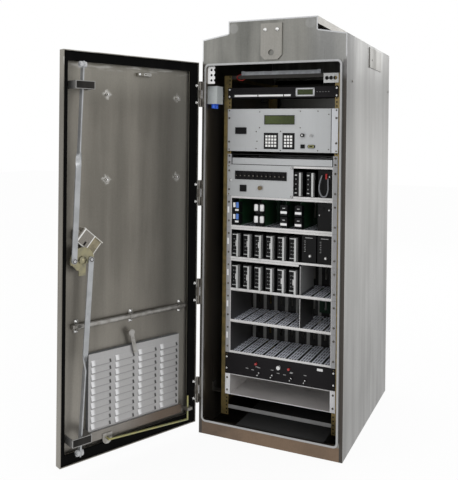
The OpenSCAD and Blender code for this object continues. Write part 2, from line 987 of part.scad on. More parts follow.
module stay_brackets() {
  z_eye = door_z0 + stay_rise;
  z_clip = door_z0 + clip_rise;
  clip_u = stay_tip_u - clip_shift;
  half_hole = clip_hole / 2;
  color("#9d988f") on_door() {
    upright(trough_v, stay_eye_t) difference() {
      union() {
        translate([stay_u, z_eye]) circle(stay_eye_w / 2);
        rect(stay_u - stay_eye_w / 2, stay_u + stay_eye_w / 2, z_eye, z_eye + stay_eye_w / 2);
      }
      translate([stay_u, z_eye]) circle(stay_r + run_clear);
    }
    translate([0, 0, z_clip]) linear_extrude(clip_h) {
      difference() {
        translate([clip_u - half_hole - clip_t, stay_v - half_hole - clip_t]) {
          square(clip_hole + 2 * clip_t);
        }
        translate([clip_u - half_hole, stay_v - half_hole]) square(clip_hole);
      }
      translate([clip_u + half_hole, skin_v]) square([clip_t, stay_v - half_hole - skin_v]);
    }
  }
}

module post_form(front) {
  y0 = front ? rack_y : rack_y + cage_d - post_w;
  yp = front ? rack_y : rack_y + cage_d - post_t;
  box(post_x - post_w, post_x, yp, yp + post_t, cage_foot_z, cage_top_z);
  box(post_x - post_t, post_x, y0, y0 + post_w, cage_foot_z, cage_top_z);
}

module rack_cage() {
  z_low = z_tray - cage_low_drop;
  color("#a89c6a") {
    for (s = [0, 1]) mirror([s, 0, 0]) {
      post_form(true);
      post_form(false);
      for (z = [z_low, cage_top_z - cage_rail_h]) {
        box(post_x - post_t, post_x, rack_y, rack_y + cage_d, z, z + cage_rail_h);
      }
    }
    for (y = [rack_y, rack_y + cage_d - post_t], z = [z_low, cage_top_z - cage_rail_h]) {
      box(-post_x, post_x, y, y + post_t, z, z + cage_rail_h);
    }
  }
}

module cage_brackets() {
  color("#9f9a8f") for (s = [0, 1]) mirror([s, 0, 0]) {
    for (y = [rack_y, rack_y + cage_d - post_w]) {
      for (z = [cage_foot_z + bracket_rise, cage_top_z - bracket_rise]) {
        box(post_x, wall_x, y, y + post_w, z, z + bracket_t);
        box(wall_x - bracket_t, wall_x, y, y + post_w, z, z + bracket_h);
      }
    }
  }
}

module lamp_fixture() {
  color("#d8d6d0") {
    box(lamp_x0, lamp_x0 + lamp_l, rack_y, rack_y + lamp_d, cage_top_z, cage_top_z + lamp_h);
    for (x = [lamp_x0 - lamp_cap, lamp_x0 + lamp_l]) {
      box(x, x + lamp_cap, rack_y - lamp_cap_grow, rack_y + lamp_d + lamp_cap_grow, cage_top_z,
          cage_top_z + lamp_h + lamp_cap_grow);
    }
  }
}

module lamp_bracket() {
  x0 = rack_x - plate_w;
  z0 = cage_top_z - plate_h;
  color("#bfbcb4") upright(rack_y - panel_t, panel_t) difference() {
    rect(x0, rack_x, z0, cage_top_z);
    for (share = plate_hole_shares) {
      translate([x0 + share * plate_w, z0 + plate_h / 2]) circle(plate_hole_r);
    }
  }
}

module switch_plate() {
  z1 = open_top - switch_drop;
  color("#dcdbd6") upright(face_y + sheet, switch_t) difference() {
    rect(-wall_x, -wall_x + switch_w, z1 - switch_h, z1);
    for (share = switch_hole_shares) {
      translate([-wall_x + (1 - switch_hole_share) * switch_w, z1 - share * switch_h]) {
        circle(switch_hole_r);
      }
      translate([-wall_x + switch_w, z1 - share * switch_h]) circle(switch_hole_r);
    }
  }
}

module service_box() {
  z1 = open_top - box_drop;
  y0 = face_y + box_set;
  color("#8d9298") box(-wall_x, -wall_x + box_w, y0, y0 + box_d, z1 - box_h, z1);
  color("#2b4f9e") for (share = box_knob_shares) {
    translate([-wall_x + box_w / 2, y0 + share * box_d, z1 - box_h - box_knob_h]) {
      cylinder(r = box_knob_r, h = box_knob_h);
    }
  }
}

// Rack panel with its four mounting slots
module rack_panel(z0, units) {
  h = units * rack_u - file_slack;
  upright(rack_y - panel_t, panel_t) difference() {
    rect(-rack_x, rack_x, z0, z0 + h);
    for (x = [-rack_x + ear_inset, rack_x - ear_inset], z = [z0 + ear_inset, z0 + h - ear_inset]) {
      translate([x, z]) circle(ear_slot_r);
    }
    children();
  }
}

module display_panel() {
  h = display_u * rack_u - file_slack;
  color("#30302e") {
    rack_panel(z_display, display_u) {
      rect(small_lcd_x, small_lcd_x + small_lcd_w, z_display + (h - small_lcd_h) / 2,
           z_display + (h + small_lcd_h) / 2);
    }
    box(-case_w / 2, case_w / 2, rack_y, rack_y + display_d, z_display, z_display + h);
    for (k = [0 : led_count - 1]) {
      pin_y(led_x0 + k * led_step, z_display + led_rise, led_r, rack_y - panel_t - led_r, led_r);
    }
  }
}

module lcd_windows() {
  small_z = z_display + (display_u * rack_u - file_slack - small_lcd_h) / 2;
  lcd_z = z_controller + lcd_rise;
  color("#8fa05a") {
    box(small_lcd_x, small_lcd_x + small_lcd_w, rack_y - window_t, rack_y, small_z, small_z + small_lcd_h);
    box(lcd_x0, lcd_x0 + lcd_w, rack_y - window_t, rack_y, lcd_z, lcd_z + lcd_h);
  }
}

module controller_case() {
  h = controller_u * rack_u - file_slack;
  color("#b9b9b6") {
    box(-case_w / 2, case_w / 2, rack_y, rack_y + controller_d, z_controller, z_controller + h);
  }
}

// Toggle switch bushing that its lever swings in
module toggle_bush(x, z) {
  difference() {
    pin_y(x, z, bush_bore_r + bush_wall, rack_y - panel_t - bush_l, bush_l);
    pin_y(x, z, bush_bore_r, rack_y - panel_t - bush_l - over, bush_l + over);
  }
}

// Lever with its ball in the bushing, tipped down
module toggle_lever(x, z) {
  translate([x, rack_y - panel_t - bush_l / 2, z]) rotate([lever_tilt, 0, 0]) {
    sphere(lever_ball_r);
    pin_y(0, 0, lever_r, -lever_l, lever_l);
    translate([0, -lever_l, 0]) sphere(lever_tip_r);
  }
}

module controller_panel() {
  lcd_z = z_controller + lcd_rise;
  color("#d3d4d2") {
    rack_panel(z_controller, controller_u) {
      rect(lcd_x0, lcd_x0 + lcd_w, lcd_z, lcd_z + lcd_h);
      translate([socket_x[1], z_controller + toggle_rise]) circle(bush_bore_r);
    }
    upright(rack_y - panel_t - bezel / 2, bezel / 2) difference() {
      rect(lcd_x0 - bezel, lcd_x0 + lcd_w + bezel, lcd_z - bezel, lcd_z + lcd_h + bezel);
      rect(lcd_x0, lcd_x0 + lcd_w, lcd_z, lcd_z + lcd_h);
    }
    toggle_bush(socket_x[1], z_controller + toggle_rise);
  }
}

// U-shaped pull in front of y = 0 with one side closed by a web, centred on the origin
module bow(w, d, t, h, web) {
  box(-w / 2, w / 2, -d, -d + t, -h / 2, h / 2);
  box(w / 2 - web, w / 2, -d, 0, -h / 2, h / 2);
  for (z = [-h / 2, h / 2 - t]) box(-w / 2, w / 2, -d, 0, z, z + t);
}

module controller_keys() {
  color("#ecece8") for (p = [0, 1], c = [0 : pad_cols[p] - 1], r = [0 : key_rows - 1]) {
    x = pad_x[p] + c * key_pitch;
    z = z_controller + key_rise + r * key_pitch;
    box(x, x + key_size, rack_y - panel_t - key_t, rack_y - panel_t, z, z + key_size);
  }
}

module panel_sockets() {
  y1 = rack_y - panel_t;
  z_out = z_file(file_count - 1) + outlet_rise;
  z_port = z_controller + socket_rise;
  color("#1f1f1f") {
    upright(y1 - socket_t, socket_t) {
      rect(socket_x[0] - socket_side / 2, socket_x[0] + socket_side / 2, z_port - socket_side / 2,
           z_port + socket_side / 2);
      round_rect(socket_x[1] - port_w / 2, socket_x[1] + port_w / 2, z_port - port_h / 2,
                 z_port + port_h / 2, port_r);
    }
    box(block_x0, block_x0 + block_w, y1 - socket_t, y1, z_controller + block_rise,
        z_controller + block_rise + block_h);
    box(breaker_x0 + outlet_x, breaker_x0 + outlet_x + outlet_w, y1 - socket_t, y1, z_out, z_out + outlet_w);
  }
}

module controller_toggle() {
  color("#c8c8c8") toggle_lever(socket_x[1], z_controller + toggle_rise);
}

module fuse_holders() {
  y1 = rack_y - panel_t;
  color("#b8b8b8") {
    pin_y(socket_x[0], z_controller + toggle_rise, fuse_r, y1 - fuse_l, fuse_l);
    pin_y(fuse_x, z_power + lamp_rise, fuse_r, y1 - fuse_l, fuse_l);
    pin_y(breaker_x0 + pilot_x, z_file(file_count - 1) + pilot_rise, pilot_r, y1 - fuse_l, fuse_l);
  }
}

module drawer_sleeve() {
  z0 = z_drawer;
  z1 = z_drawer + drawer_u * rack_u - file_slack;
  color("#26282a") {
    difference() {
      box(-sleeve_w / 2, sleeve_w / 2, rack_y, rack_y + sleeve_d, z0, z1);
      box(-sleeve_w / 2 + sleeve_t, sleeve_w / 2 - sleeve_t, rack_y - over, rack_y + sleeve_d - sleeve_t,
          z0 + sleeve_t, z1 - sleeve_t);
    }
    for (s = [0, 1]) mirror([s, 0, 0]) {
      box(sleeve_w / 2 - sleeve_t, rack_x, rack_y - ear_t, rack_y, z0, z1);
    }
  }
}

module drawer() {
  x1 = sleeve_w / 2 - sleeve_t - drawer_play;
  z0 = z_drawer + sleeve_t + drawer_play;
  z1 = z0 + drawer_lip_rise + drawer_lip_h;
  y1 = rack_y + sleeve_d - sleeve_t - drawer_back;
  color("#b9b7b0") difference() {
    box(-x1, x1, rack_y - ear_t, y1, z0, z1);
    box(-x1 + drawer_wall, x1 - drawer_wall, rack_y - ear_t + drawer_wall, y1 - drawer_wall,
        z0 + drawer_wall, z1 + over);
  }
}

module breaker_panel() {
  z0 = z_file(file_count - 1);
  z_window = z0 + breaker_rise;
  x_window = breaker_x0 + breaker_first;
  color("#cfcfcb") {
    upright(rack_y - panel_t, panel_t) difference() {
      rect(-rack_x, breaker_x0 + breaker_panel_w, z0, z0 + file_h - file_slack);
      rect(x_window, x_window + breaker_count * breaker_pitch, z_window, z_window + breaker_h);
      translate([-rack_x + ear_inset, z0 + ear_inset]) circle(ear_slot_r);
      translate([-rack_x + ear_inset, z0 + file_h - ear_inset]) circle(ear_slot_r);
    }
  }
}

module breakers() {
  z0 = z_file(file_count - 1) + breaker_rise;
  color("#202022") for (k = [0 : breaker_count - 1]) {
    x = breaker_x0 + breaker_first + k * breaker_pitch + (breaker_pitch - breaker_w) / 2;
    box(x, x + breaker_w, rack_y - panel_t - breaker_face, rack_y + breaker_d, z0, z0 + breaker_h);
    translate([x + breaker_w / 2, rack_y - panel_t - breaker_face, z0 + breaker_h / 2]) {
      box(-breaker_lever_w / 2, breaker_lever_w / 2, -breaker_lever_d, 0, -breaker_lever_h / 2,
          breaker_lever_h / 2);
    }
  }
}

// Card file: slotted shelf with a front lip, two side plates and rack ears
module card_file(row, left_ear) {
  z0 = z_file(row);
  z1 = z0 + file_h - file_slack;
  x1 = file_w / 2;
  difference() {
    union() {
      box(-x1, x1, rack_y, rack_y + file_d, z0, z0 + file_t);
      box(-x1, x1, rack_y, rack_y + file_t, z0, z0 + file_lip);
    }
    for (k = [0 : slot_count - 1]) {
      x = slot_x(k);
      box(x - slot_w / 2, x + slot_w / 2, rack_y + slot_y0, rack_y + slot_y0 + slot_l, z0 - over,
          z0 + file_t + over);
    }
  }
  for (s = [0, 1]) mirror([s, 0, 0]) {
    box(x1 - file_t, x1, rack_y, rack_y + file_d, z0, z1);
    if (s == 0 || left_ear) box(x1 - file_t, rack_x, rack_y - ear_t, rack_y, z0, z1);
  }
}

module divider(row) {
  z0 = z_file(row) + file_t;
  x = slot_x(module_count - 1) - module_shift + module_w / 2 + divider_gap;
  box(x, x + file_t, rack_y + file_t, rack_y + divider_d, z0, z0 + file_h - file_lip);
}

module upper_files() {
  color("#c2c1bc") {
    card_file(file_count - 2, true);
    card_file(file_count - 1, false);
  }
}

module output_files() {
  color("#c2c1bc") {
    card_file(2, true);
    divider(2);
    card_file(3, true);
  }
}

module spare_files() {
  color("#c2c1bc") {
    card_file(0, true);
    card_file(1, true);
    divider(1);
  }
}

module backplanes() {
  color("#2f4a33") for (row = [0 : file_count - 1]) {
    z0 = z_file(row);
    upright(rack_y + file_d, back_t) difference() {
      rect(-file_w / 2, file_w / 2, z0, z0 + file_h - file_slack);
      for (k = [0 : slot_count - 1]) {
        x = slot_x(k);
        zc = z0 + file_h / 2;
        rect(x - back_slot_w / 2, x + back_slot_w / 2, zc - back_slot_share * file_h / 2,
             zc + back_slot_share * file_h / 2);
      }
    }
  }
}

module each_module() {
  for (row = [2, 3], k = [0 : module_count - 1]) {
    translate([slot_x(k) - module_shift, rack_y + module_set, z_file(row) + file_t]) children();
  }
}

module each_flasher() {
  for (share = flasher_shares) {
    translate([file_x(share), rack_y + module_set, z_file(file_count - 1) + file_t]) children();
  }
}

module switch_modules() {
  color("#2a2b2d") {
    each_module() box(-module_w / 2, module_w / 2, 0, module_d, 0, module_h);
    each_flasher() box(-flasher_w / 2, flasher_w / 2, 0, module_d, 0, module_h);
  }
}

module switch_handles() {
  color("#c9c9c6") {
    each_module() translate([bow_off, 0, bow_z0 + bow_h / 2]) bow(bow_w, bow_d, bow_t, bow_h, bow_web);
    each_flasher() translate([flasher_bow_off, 0, bow_z0 + bow_h / 2]) {
      bow(bow_w, bow_d, bow_t, bow_h, bow_web);
    }
  }
}

module relay_cards() {
  z0 = z_file(file_count - 2) + file_t;
  y0 = rack_y + module_set + relay_d;
  color("#2f6a3a") for (share = card_shares) {
    box(file_x(share) - card_t / 2, file_x(share) + card_t / 2, y0, y0 + card_d, z0, z0 + card_h);
  }
}

module relay_blocks() {
  z0 = z_file(file_count - 2) + file_t;
  y0 = rack_y + module_set;
  color("#3a3b3d") for (share = card_shares, k = [0, 1]) {
    x = file_x(share);
    z = z0 + file_lip + k * (relay_h + relay_gap);
    box(x - relay_w / 2, x + relay_w / 2, y0, y0 + relay_d, z, z + relay_h);
  }
}

module monitor_unit(x, row) {
  z0 = z_file(row) + file_t;
  box(x, x + unit_w, rack_y + module_set, rack_y + module_set + module_d, z0, z0 + unit_h);
}

module monitor_units() {
  color("#1d1e20") {
    monitor_unit(unit_x0, 3);
    for (row = [3, file_count - 2, file_count - 1]) monitor_unit(unit_x1, row);
  }
}

module power_panel() {
  h = power_u * rack_u - file_slack;
  color("#1c1c1d") {
    rack_panel(z_power, power_u) {
      for (x = toggle_xs) translate([x, z_power + power_toggle_rise]) circle(bush_bore_r);
    }
    box(-case_w / 2, case_w / 2, rack_y, rack_y + power_d, z_power, z_power + h);
    for (x = toggle_xs) toggle_bush(x, z_power + power_toggle_rise);
  }
}

module panel_lamps() {
  color("#c0241c") for (x = lamp_xs) {
    pin_y(x, z_power + lamp_rise, lens_r, rack_y - panel_t - lens_l, lens_l);
  }
}

module power_toggle(k) {
  color("#d0d0cf") toggle_lever(toggle_xs[k], z_power + power_toggle_rise);
}

module toggle_1() {
  power_toggle(0);
}

module toggle_2() {
  power_toggle(1);
}

module toggle_3() {
  power_toggle(2);
}

module toggle_4() {
  power_toggle(3);
}

module cable_tray() {
  z1 = z_tray + tray_u * rack_u - file_slack;
  x1 = file_w / 2;
  color("#bdbbb5") {
    box(-x1, x1, rack_y, rack_y + tray_d, z_tray, z_tray + tray_t);
    box(-x1, x1, rack_y + tray_d - tray_t, rack_y + tray_d, z_tray, z_tray + tray_wall);
    for (s = [0, 1]) mirror([s, 0, 0]) {
      box(x1 - tray_t, x1, rack_y, rack_y + tray_d, z_tray, z_tray + tray_wall);
      box(x1 - tray_t, rack_x, rack_y - ear_t, rack_y, z_tray, z1);
    }
  }
}

housing_shell();
roof_hood();
lifting_plates();
cover_plate();
frame_hinges();
rack_cage();
cage_brackets();
lamp_fixture();
lamp_bracket();
switch_plate();
service_box();
display_panel();
lcd_windows();
controller_case();
controller_panel();
controller_keys();
panel_sockets();
controller_toggle();
drawer_sleeve();
drawer();
breaker_panel();
breakers();
upper_files();
output_files();
spare_files();
backplanes();
switch_modules();
switch_handles();
relay_cards();
relay_blocks();
monitor_units();
power_panel();
panel_lamps();
fuse_holders();
toggle_1();
toggle_2();
toggle_3();
toggle_4();
cable_tray();
door_pan();
door_gasket();
door_hinges();
louvre_plate();
filter_trough();
air_filter();
filter_bar();
rod_guides();
lock_case();
stay_brackets();
latch_cam();
latch_handle();
upper_rod();
lower_rod();
upper_rollers();
lower_rollers();
filter_latch();
stay_rod();
rear_door_pan();
rear_gasket();
rear_handle();
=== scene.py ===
"""Dressed scene of a tall roadside utility cabinet that stands with its front door open."""
import logging
import math
from dataclasses import dataclass
from enum import Enum
from typing import ClassVar, Iterable, Sequence, Union

import bmesh
import bpy
from mathutils import Matrix, Vector


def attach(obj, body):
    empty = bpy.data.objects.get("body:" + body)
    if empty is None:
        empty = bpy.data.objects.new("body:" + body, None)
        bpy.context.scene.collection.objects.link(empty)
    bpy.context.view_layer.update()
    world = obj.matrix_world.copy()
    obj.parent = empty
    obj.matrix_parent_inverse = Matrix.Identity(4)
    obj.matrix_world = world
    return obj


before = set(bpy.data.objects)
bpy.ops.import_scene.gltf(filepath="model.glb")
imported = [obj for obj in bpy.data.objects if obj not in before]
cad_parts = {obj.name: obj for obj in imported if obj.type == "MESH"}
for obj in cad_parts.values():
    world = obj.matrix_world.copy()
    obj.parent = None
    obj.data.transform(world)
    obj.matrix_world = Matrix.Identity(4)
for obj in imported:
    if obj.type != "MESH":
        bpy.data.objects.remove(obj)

log = logging.getLogger("cabinet")
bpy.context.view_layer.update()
MM = 0.001
Rgb = tuple[float, float, float]
Point = tuple[float, float, float]
Span = tuple[float, float]
Value = Union[float, "Sock"]

# The front door's own directions, with the door open as it stands
OPEN = math.radians(114.6)
HINGE = Vector((-0.311, -0.396, 0.0))
DOOR = Matrix.Translation(HINGE) @ Matrix.Rotation(-OPEN, 4, "Z")
ACROSS = (math.cos(OPEN), -math.sin(OPEN), 0.0)
INWARD = (-ACROSS[1], ACROSS[0], 0.0)
DOOR_AT = ACROSS[0] * HINGE.x + ACROSS[1] * HINGE.y
INWARD_AT = INWARD[0] * HINGE.x + INWARD[1] * HINGE.y

# Studs welded to the front door's skin, in millimetres
STUD_US = (100.0, 418.0)
STUD_ZS = (1380.25, 1062.25)

# Lanes of the card files: how far left the first one's middle lies, and their pitch
LANE_FIRST = 180.25 * MM
LANE_PITCH = 51.5 * MM

# Sides of six-cornered and of round fasteners, and roughness under a clear coat
HEX_SIDES = 6
ROUND_SIDES = 16
COAT_ROUGHNESS = 0.15


class Way(Enum):
    """Direction that a turned or drilled piece faces."""

    FRONT = (0.0, -1.0, 0.0)
    BACK = (0.0, 1.0, 0.0)
    RIGHT = (1.0, 0.0, 0.0)
    UP = (0.0, 0.0, 1.0)
    DOWN = (0.0, 0.0, -1.0)


class Head(Enum):
    """Form of a fastener's head, as shares of its radius: (radius, height) from the seat out."""

    PAN = ((1.0, 0.0), (1.0, 0.25), (0.82, 0.5), (0.35, 0.6), (0.3, 0.42), (0.0, 0.4))
    ACORN = ((1.25, 0.0), (1.25, 0.12), (0.9, 0.16), (0.9, 0.75), (0.72, 1.15), (0.35, 1.4), (0.0, 1.46))
    DOME = ((1.0, 0.0), (0.98, 0.2), (0.8, 0.5), (0.45, 0.68), (0.0, 0.74))
    NUT = ((1.3, 0.0), (1.3, 0.15), (0.95, 0.18), (0.95, 0.8), (0.6, 0.86), (0.55, 1.25), (0.0, 1.3))


def srgb(red: int, green: int, blue: int) -> Rgb:
    """Turns a colour as seen on screen into linear light.

    Args:
        red: Red from 0 to 255.
        green: Green from 0 to 255.
        blue: Blue from 0 to 255.

    Returns:
        The three linear values.
    """
    def one(level: int) -> float:
        """Linear value of one channel."""
        share = level / 255
        return share / 12.92 if share <= 0.04045 else ((share + 0.055) / 1.055) ** 2.4
    return one(red), one(green), one(blue)


class Sock:
    """A shader socket that takes part in Python maths."""

    def __init__(self, graph: "Graph", socket: bpy.types.NodeSocket) -> None:
        """Keeps the socket with the graph that it belongs to."""
        self.graph, self.socket = graph, socket

    def _math(self, operation: str, *values: Value) -> "Sock":
        """Adds a Math node on the values and returns its result."""
        return self.graph.get("ShaderNodeMath", {"operation": operation}, dict(enumerate(values)))

    def __add__(self, other: Value) -> "Sock":
        """Sum."""
        return self._math("ADD", self, other)

    def __sub__(self, other: Value) -> "Sock":
        """Difference."""
        return self._math("SUBTRACT", self, other)

    def __rsub__(self, other: Value) -> "Sock":
        """Difference from a number."""
        return self._math("SUBTRACT", other, self)

    def __mul__(self, other: Value) -> "Sock":
        """Product."""
        return self._math("MULTIPLY", self, other)

    def __truediv__(self, other: Value) -> "Sock":
        """Quotient."""
        return self._math("DIVIDE", self, other)

    def __mod__(self, other: Value) -> "Sock":
        """Remainder that stays positive."""
        return self._math("FLOORED_MODULO", self, other)

    def __abs__(self) -> "Sock":
        """Size without its sign."""
        return self._math("ABSOLUTE", self)

    def __or__(self, other: Value) -> "Sock":
        """The larger of two masks."""
        return self._math("MAXIMUM", self, other)

    __radd__, __rmul__ = __add__, __mul__

    def ramp(self, low: float, high: float) -> "Sock":
        """Smooth mask that is 0 at low and 1 at high.

        Args:
            low: Value where the mask is 0.
            high: Value where the mask is 1.

        Returns:
            The mask.
        """
        falls = low > high
        ends = (high, low) if falls else (low, high)
        mask = self.graph.get("ShaderNodeMapRange", {"interpolation_type": "SMOOTHSTEP"},
                              {"Value": self, "From Min": ends[0], "From Max": ends[1]})
        return 1 - mask if falls else mask


def spot(across: Sock, over: Sock, middle: Span, radius: float) -> Sock:
    """Square of the distance from a middle, in radii."""
    off_a, off_b = (across - middle[0]) / radius, (over - middle[1]) / radius
    return off_a * off_a + off_b * off_b


class Graph:
    """The node tree of one material, or of the world."""

    def __init__(self, name: str, world: bool = False) -> None:
        """Starts an empty node tree.

        Args:
            name: Name of its material or world.
            world: Whether it belongs to a world.
        """
        self.owner = bpy.data.worlds.new(name) if world else bpy.data.materials.new(name)
        self.owner.use_nodes = True
        self.tree = self.owner.node_tree
        self.tree.nodes.clear()

    def node(self, kind: str, settings: dict | None = None, sockets: dict | None = None) -> bpy.types.Node:
        """Adds any node.

        Args:
            kind: Blender's type name of the node.
            settings: Attributes that are set first.
            sockets: Values or links by the socket's name or number.

        Returns:
            The node.
        """
        made = self.tree.nodes.new(kind)
        for key, value in (settings or {}).items():
            setattr(made, key, value)
        for key, value in (sockets or {}).items():
            if isinstance(value, Sock):
                self.tree.links.new(value.socket, made.inputs[key])
            elif isinstance(value, tuple) and len(value) == 3 and made.inputs[key].type == "RGBA":
                made.inputs[key].default_value = (*value, 1.0)
            else:
                made.inputs[key].default_value = value
        return made

    def get(self, kind: str, settings: dict | None = None, sockets: dict | None = None,
            result: Union[int, str] = 0) -> Sock:
        """Adds a node and returns one of its results; the arguments are those of node()."""
        return Sock(self, self.node(kind, settings, sockets).outputs[result])

    def where(self) -> Sock:
        """Place on the surface, in the piece's own frame."""
        return self.get("ShaderNodeTexCoord", result="Object")

    def facing(self) -> Sock:
        """Direction of the surface, in the piece's own frame."""
        return self.get("ShaderNodeTexCoord", result="Normal")

    def along(self, place: Sock, axis: Point) -> Sock:
        """Distance of a place along an axis."""
        return self.get("ShaderNodeVectorMath", {"operation": "DOT_PRODUCT"}, {0: place, 1: axis}, "Value")

    def parts(self, place: Sock) -> tuple[Sock, Sock, Sock]:
        """The three parts of a vector."""
        made = self.node("ShaderNodeSeparateXYZ", None, {0: place})
        return Sock(self, made.outputs[0]), Sock(self, made.outputs[1]), Sock(self, made.outputs[2])

    def on_door(self, place: Sock) -> tuple[Sock, Sock]:
        """Distance of a place across the open door from its hinge line, and its height."""
        return self.along(place, ACROSS) - DOOR_AT, self.parts(place)[2]

    def stretch(self, place: Sock, shares: Point) -> Sock:
        """Place with each axis scaled."""
        return self.get("ShaderNodeVectorMath", {"operation": "MULTIPLY"}, {0: place, 1: shares})

    def noise(self, place: Sock, scale: float, detail: float = 3.0) -> Sock:
        """Soft noise from 0 to 1."""
        return self.get("ShaderNodeTexNoise", None, {"Vector": place, "Scale": scale, "Detail": detail})

    def blend(self, first: Union[Rgb, Sock], second: Union[Rgb, Sock], share: Value) -> Sock:
        """Colour between two colours: the first at share 0, the second at share 1."""
        return self.get("ShaderNodeMix", {"data_type": "RGBA"}, {0: share, 6: first, 7: second}, 2)

    def dim(self, colour: Union[Rgb, Sock], level: Value) -> Sock:
        """Colour made darker or lighter by a value."""
        return self.get("ShaderNodeVectorMath", {"operation": "SCALE"}, {0: colour, "Scale": level})

    def seen(self) -> Sock:
        """Mask of what the camera sees straight, in a reflection or through glass."""
        rays = self.node("ShaderNodeLightPath")
        straight, mirrored, through = (Sock(self, rays.outputs[f"Is {kind} Ray"])
                                       for kind in ("Camera", "Glossy", "Transmission"))
        return straight | mirrored | through

    def bump(self, height: Sock, strength: float, distance: float = 0.4 * MM) -> Sock:
        """Normal of a surface with that relief."""
        return self.get("ShaderNodeBump", None,
                        {"Height": height, "Strength": strength, "Distance": distance})

    def surface(self, **sockets: Union[Value, Rgb]) -> None:
        """Ends the material in one Principled shader.

        Args:
            sockets: Values or links of its sockets; underscores in the names stand for spaces.
        """
        named = {key.replace("_", " "): value for key, value in sockets.items()}
        if "Coat Weight" in named:
            named.setdefault("Coat Roughness", COAT_ROUGHNESS)
        shader = self.get("ShaderNodeBsdfPrincipled", None, named)
        self.node("ShaderNodeOutputMaterial", None, {"Surface": shader})


@dataclass(frozen=True)
class Tint:
    """A colour that a sheet turns to along one direction."""

    axis: Point
    start: float
    end: float
    colour: Rgb
    share: float = 1.0


@dataclass(frozen=True)
class MillSheet:
    """Mill-finish aluminium with a vertical grain, fine scratches and clouds, which are partly the sheet's
    mottling and partly painted reflection.
    """

    name: str
    face: Rgb
    cloud: Rgb
    rough: float = 0.36
    grain: float = 0.22
    clouds: float = 0.8
    metal: float = 0.9
    tints: tuple[Tint, ...] = ()
    scratch: float = 0.6 * MM

    def colour(self, graph: Graph, place: Sock) -> tuple[Sock, Sock]:
        """Colour of the sheet before its grain.

        Args:
            graph: Material's graph.
            place: Place on the surface.

        Returns:
            The colour and a mask of its clouds.
        """
        # Upright clouds of painted reflection, mixed with the sheet's own mottling.
        sheen_streaks = graph.noise(graph.stretch(place, (9.0, 9.0, 0.7)), 1.6, 4.0)
        mottle = graph.noise(graph.stretch(place, (3.0, 3.0, 1.2)), 2.4, 5.0)
        mask = (sheen_streaks * 0.6 + mottle * 0.4).ramp(0.36, 0.64)
        tone = graph.blend(self.face, self.cloud, mask * self.clouds)
        for tint in self.tints:
            reach = graph.along(place, tint.axis).ramp(tint.start, tint.end)
            tone = graph.blend(tone, tint.colour, reach * tint.share)
        return tone, mask

    def material(self) -> bpy.types.Material:
        """Builds the sheet's material."""
        graph = Graph(self.name)
        place = graph.where()
        tone, mask = self.colour(graph, place)
        lines = graph.noise(graph.stretch(place, (420.0, 420.0, 6.0)), 1.0, 2.0)
        specks = graph.noise(place, 160.0, 2.0)
        level = 1 + (lines - 0.5) * self.grain + (specks - 0.5) * (self.grain * 0.9)
        graph.surface(Base_Color=graph.dim(tone, level), Metallic=self.metal,
                      Roughness=self.rough + (mask - 0.5) * 0.12 + (lines - 0.5) * 0.16,
                      Normal=graph.bump(lines, 0.08, self.scratch))
        return graph.owner


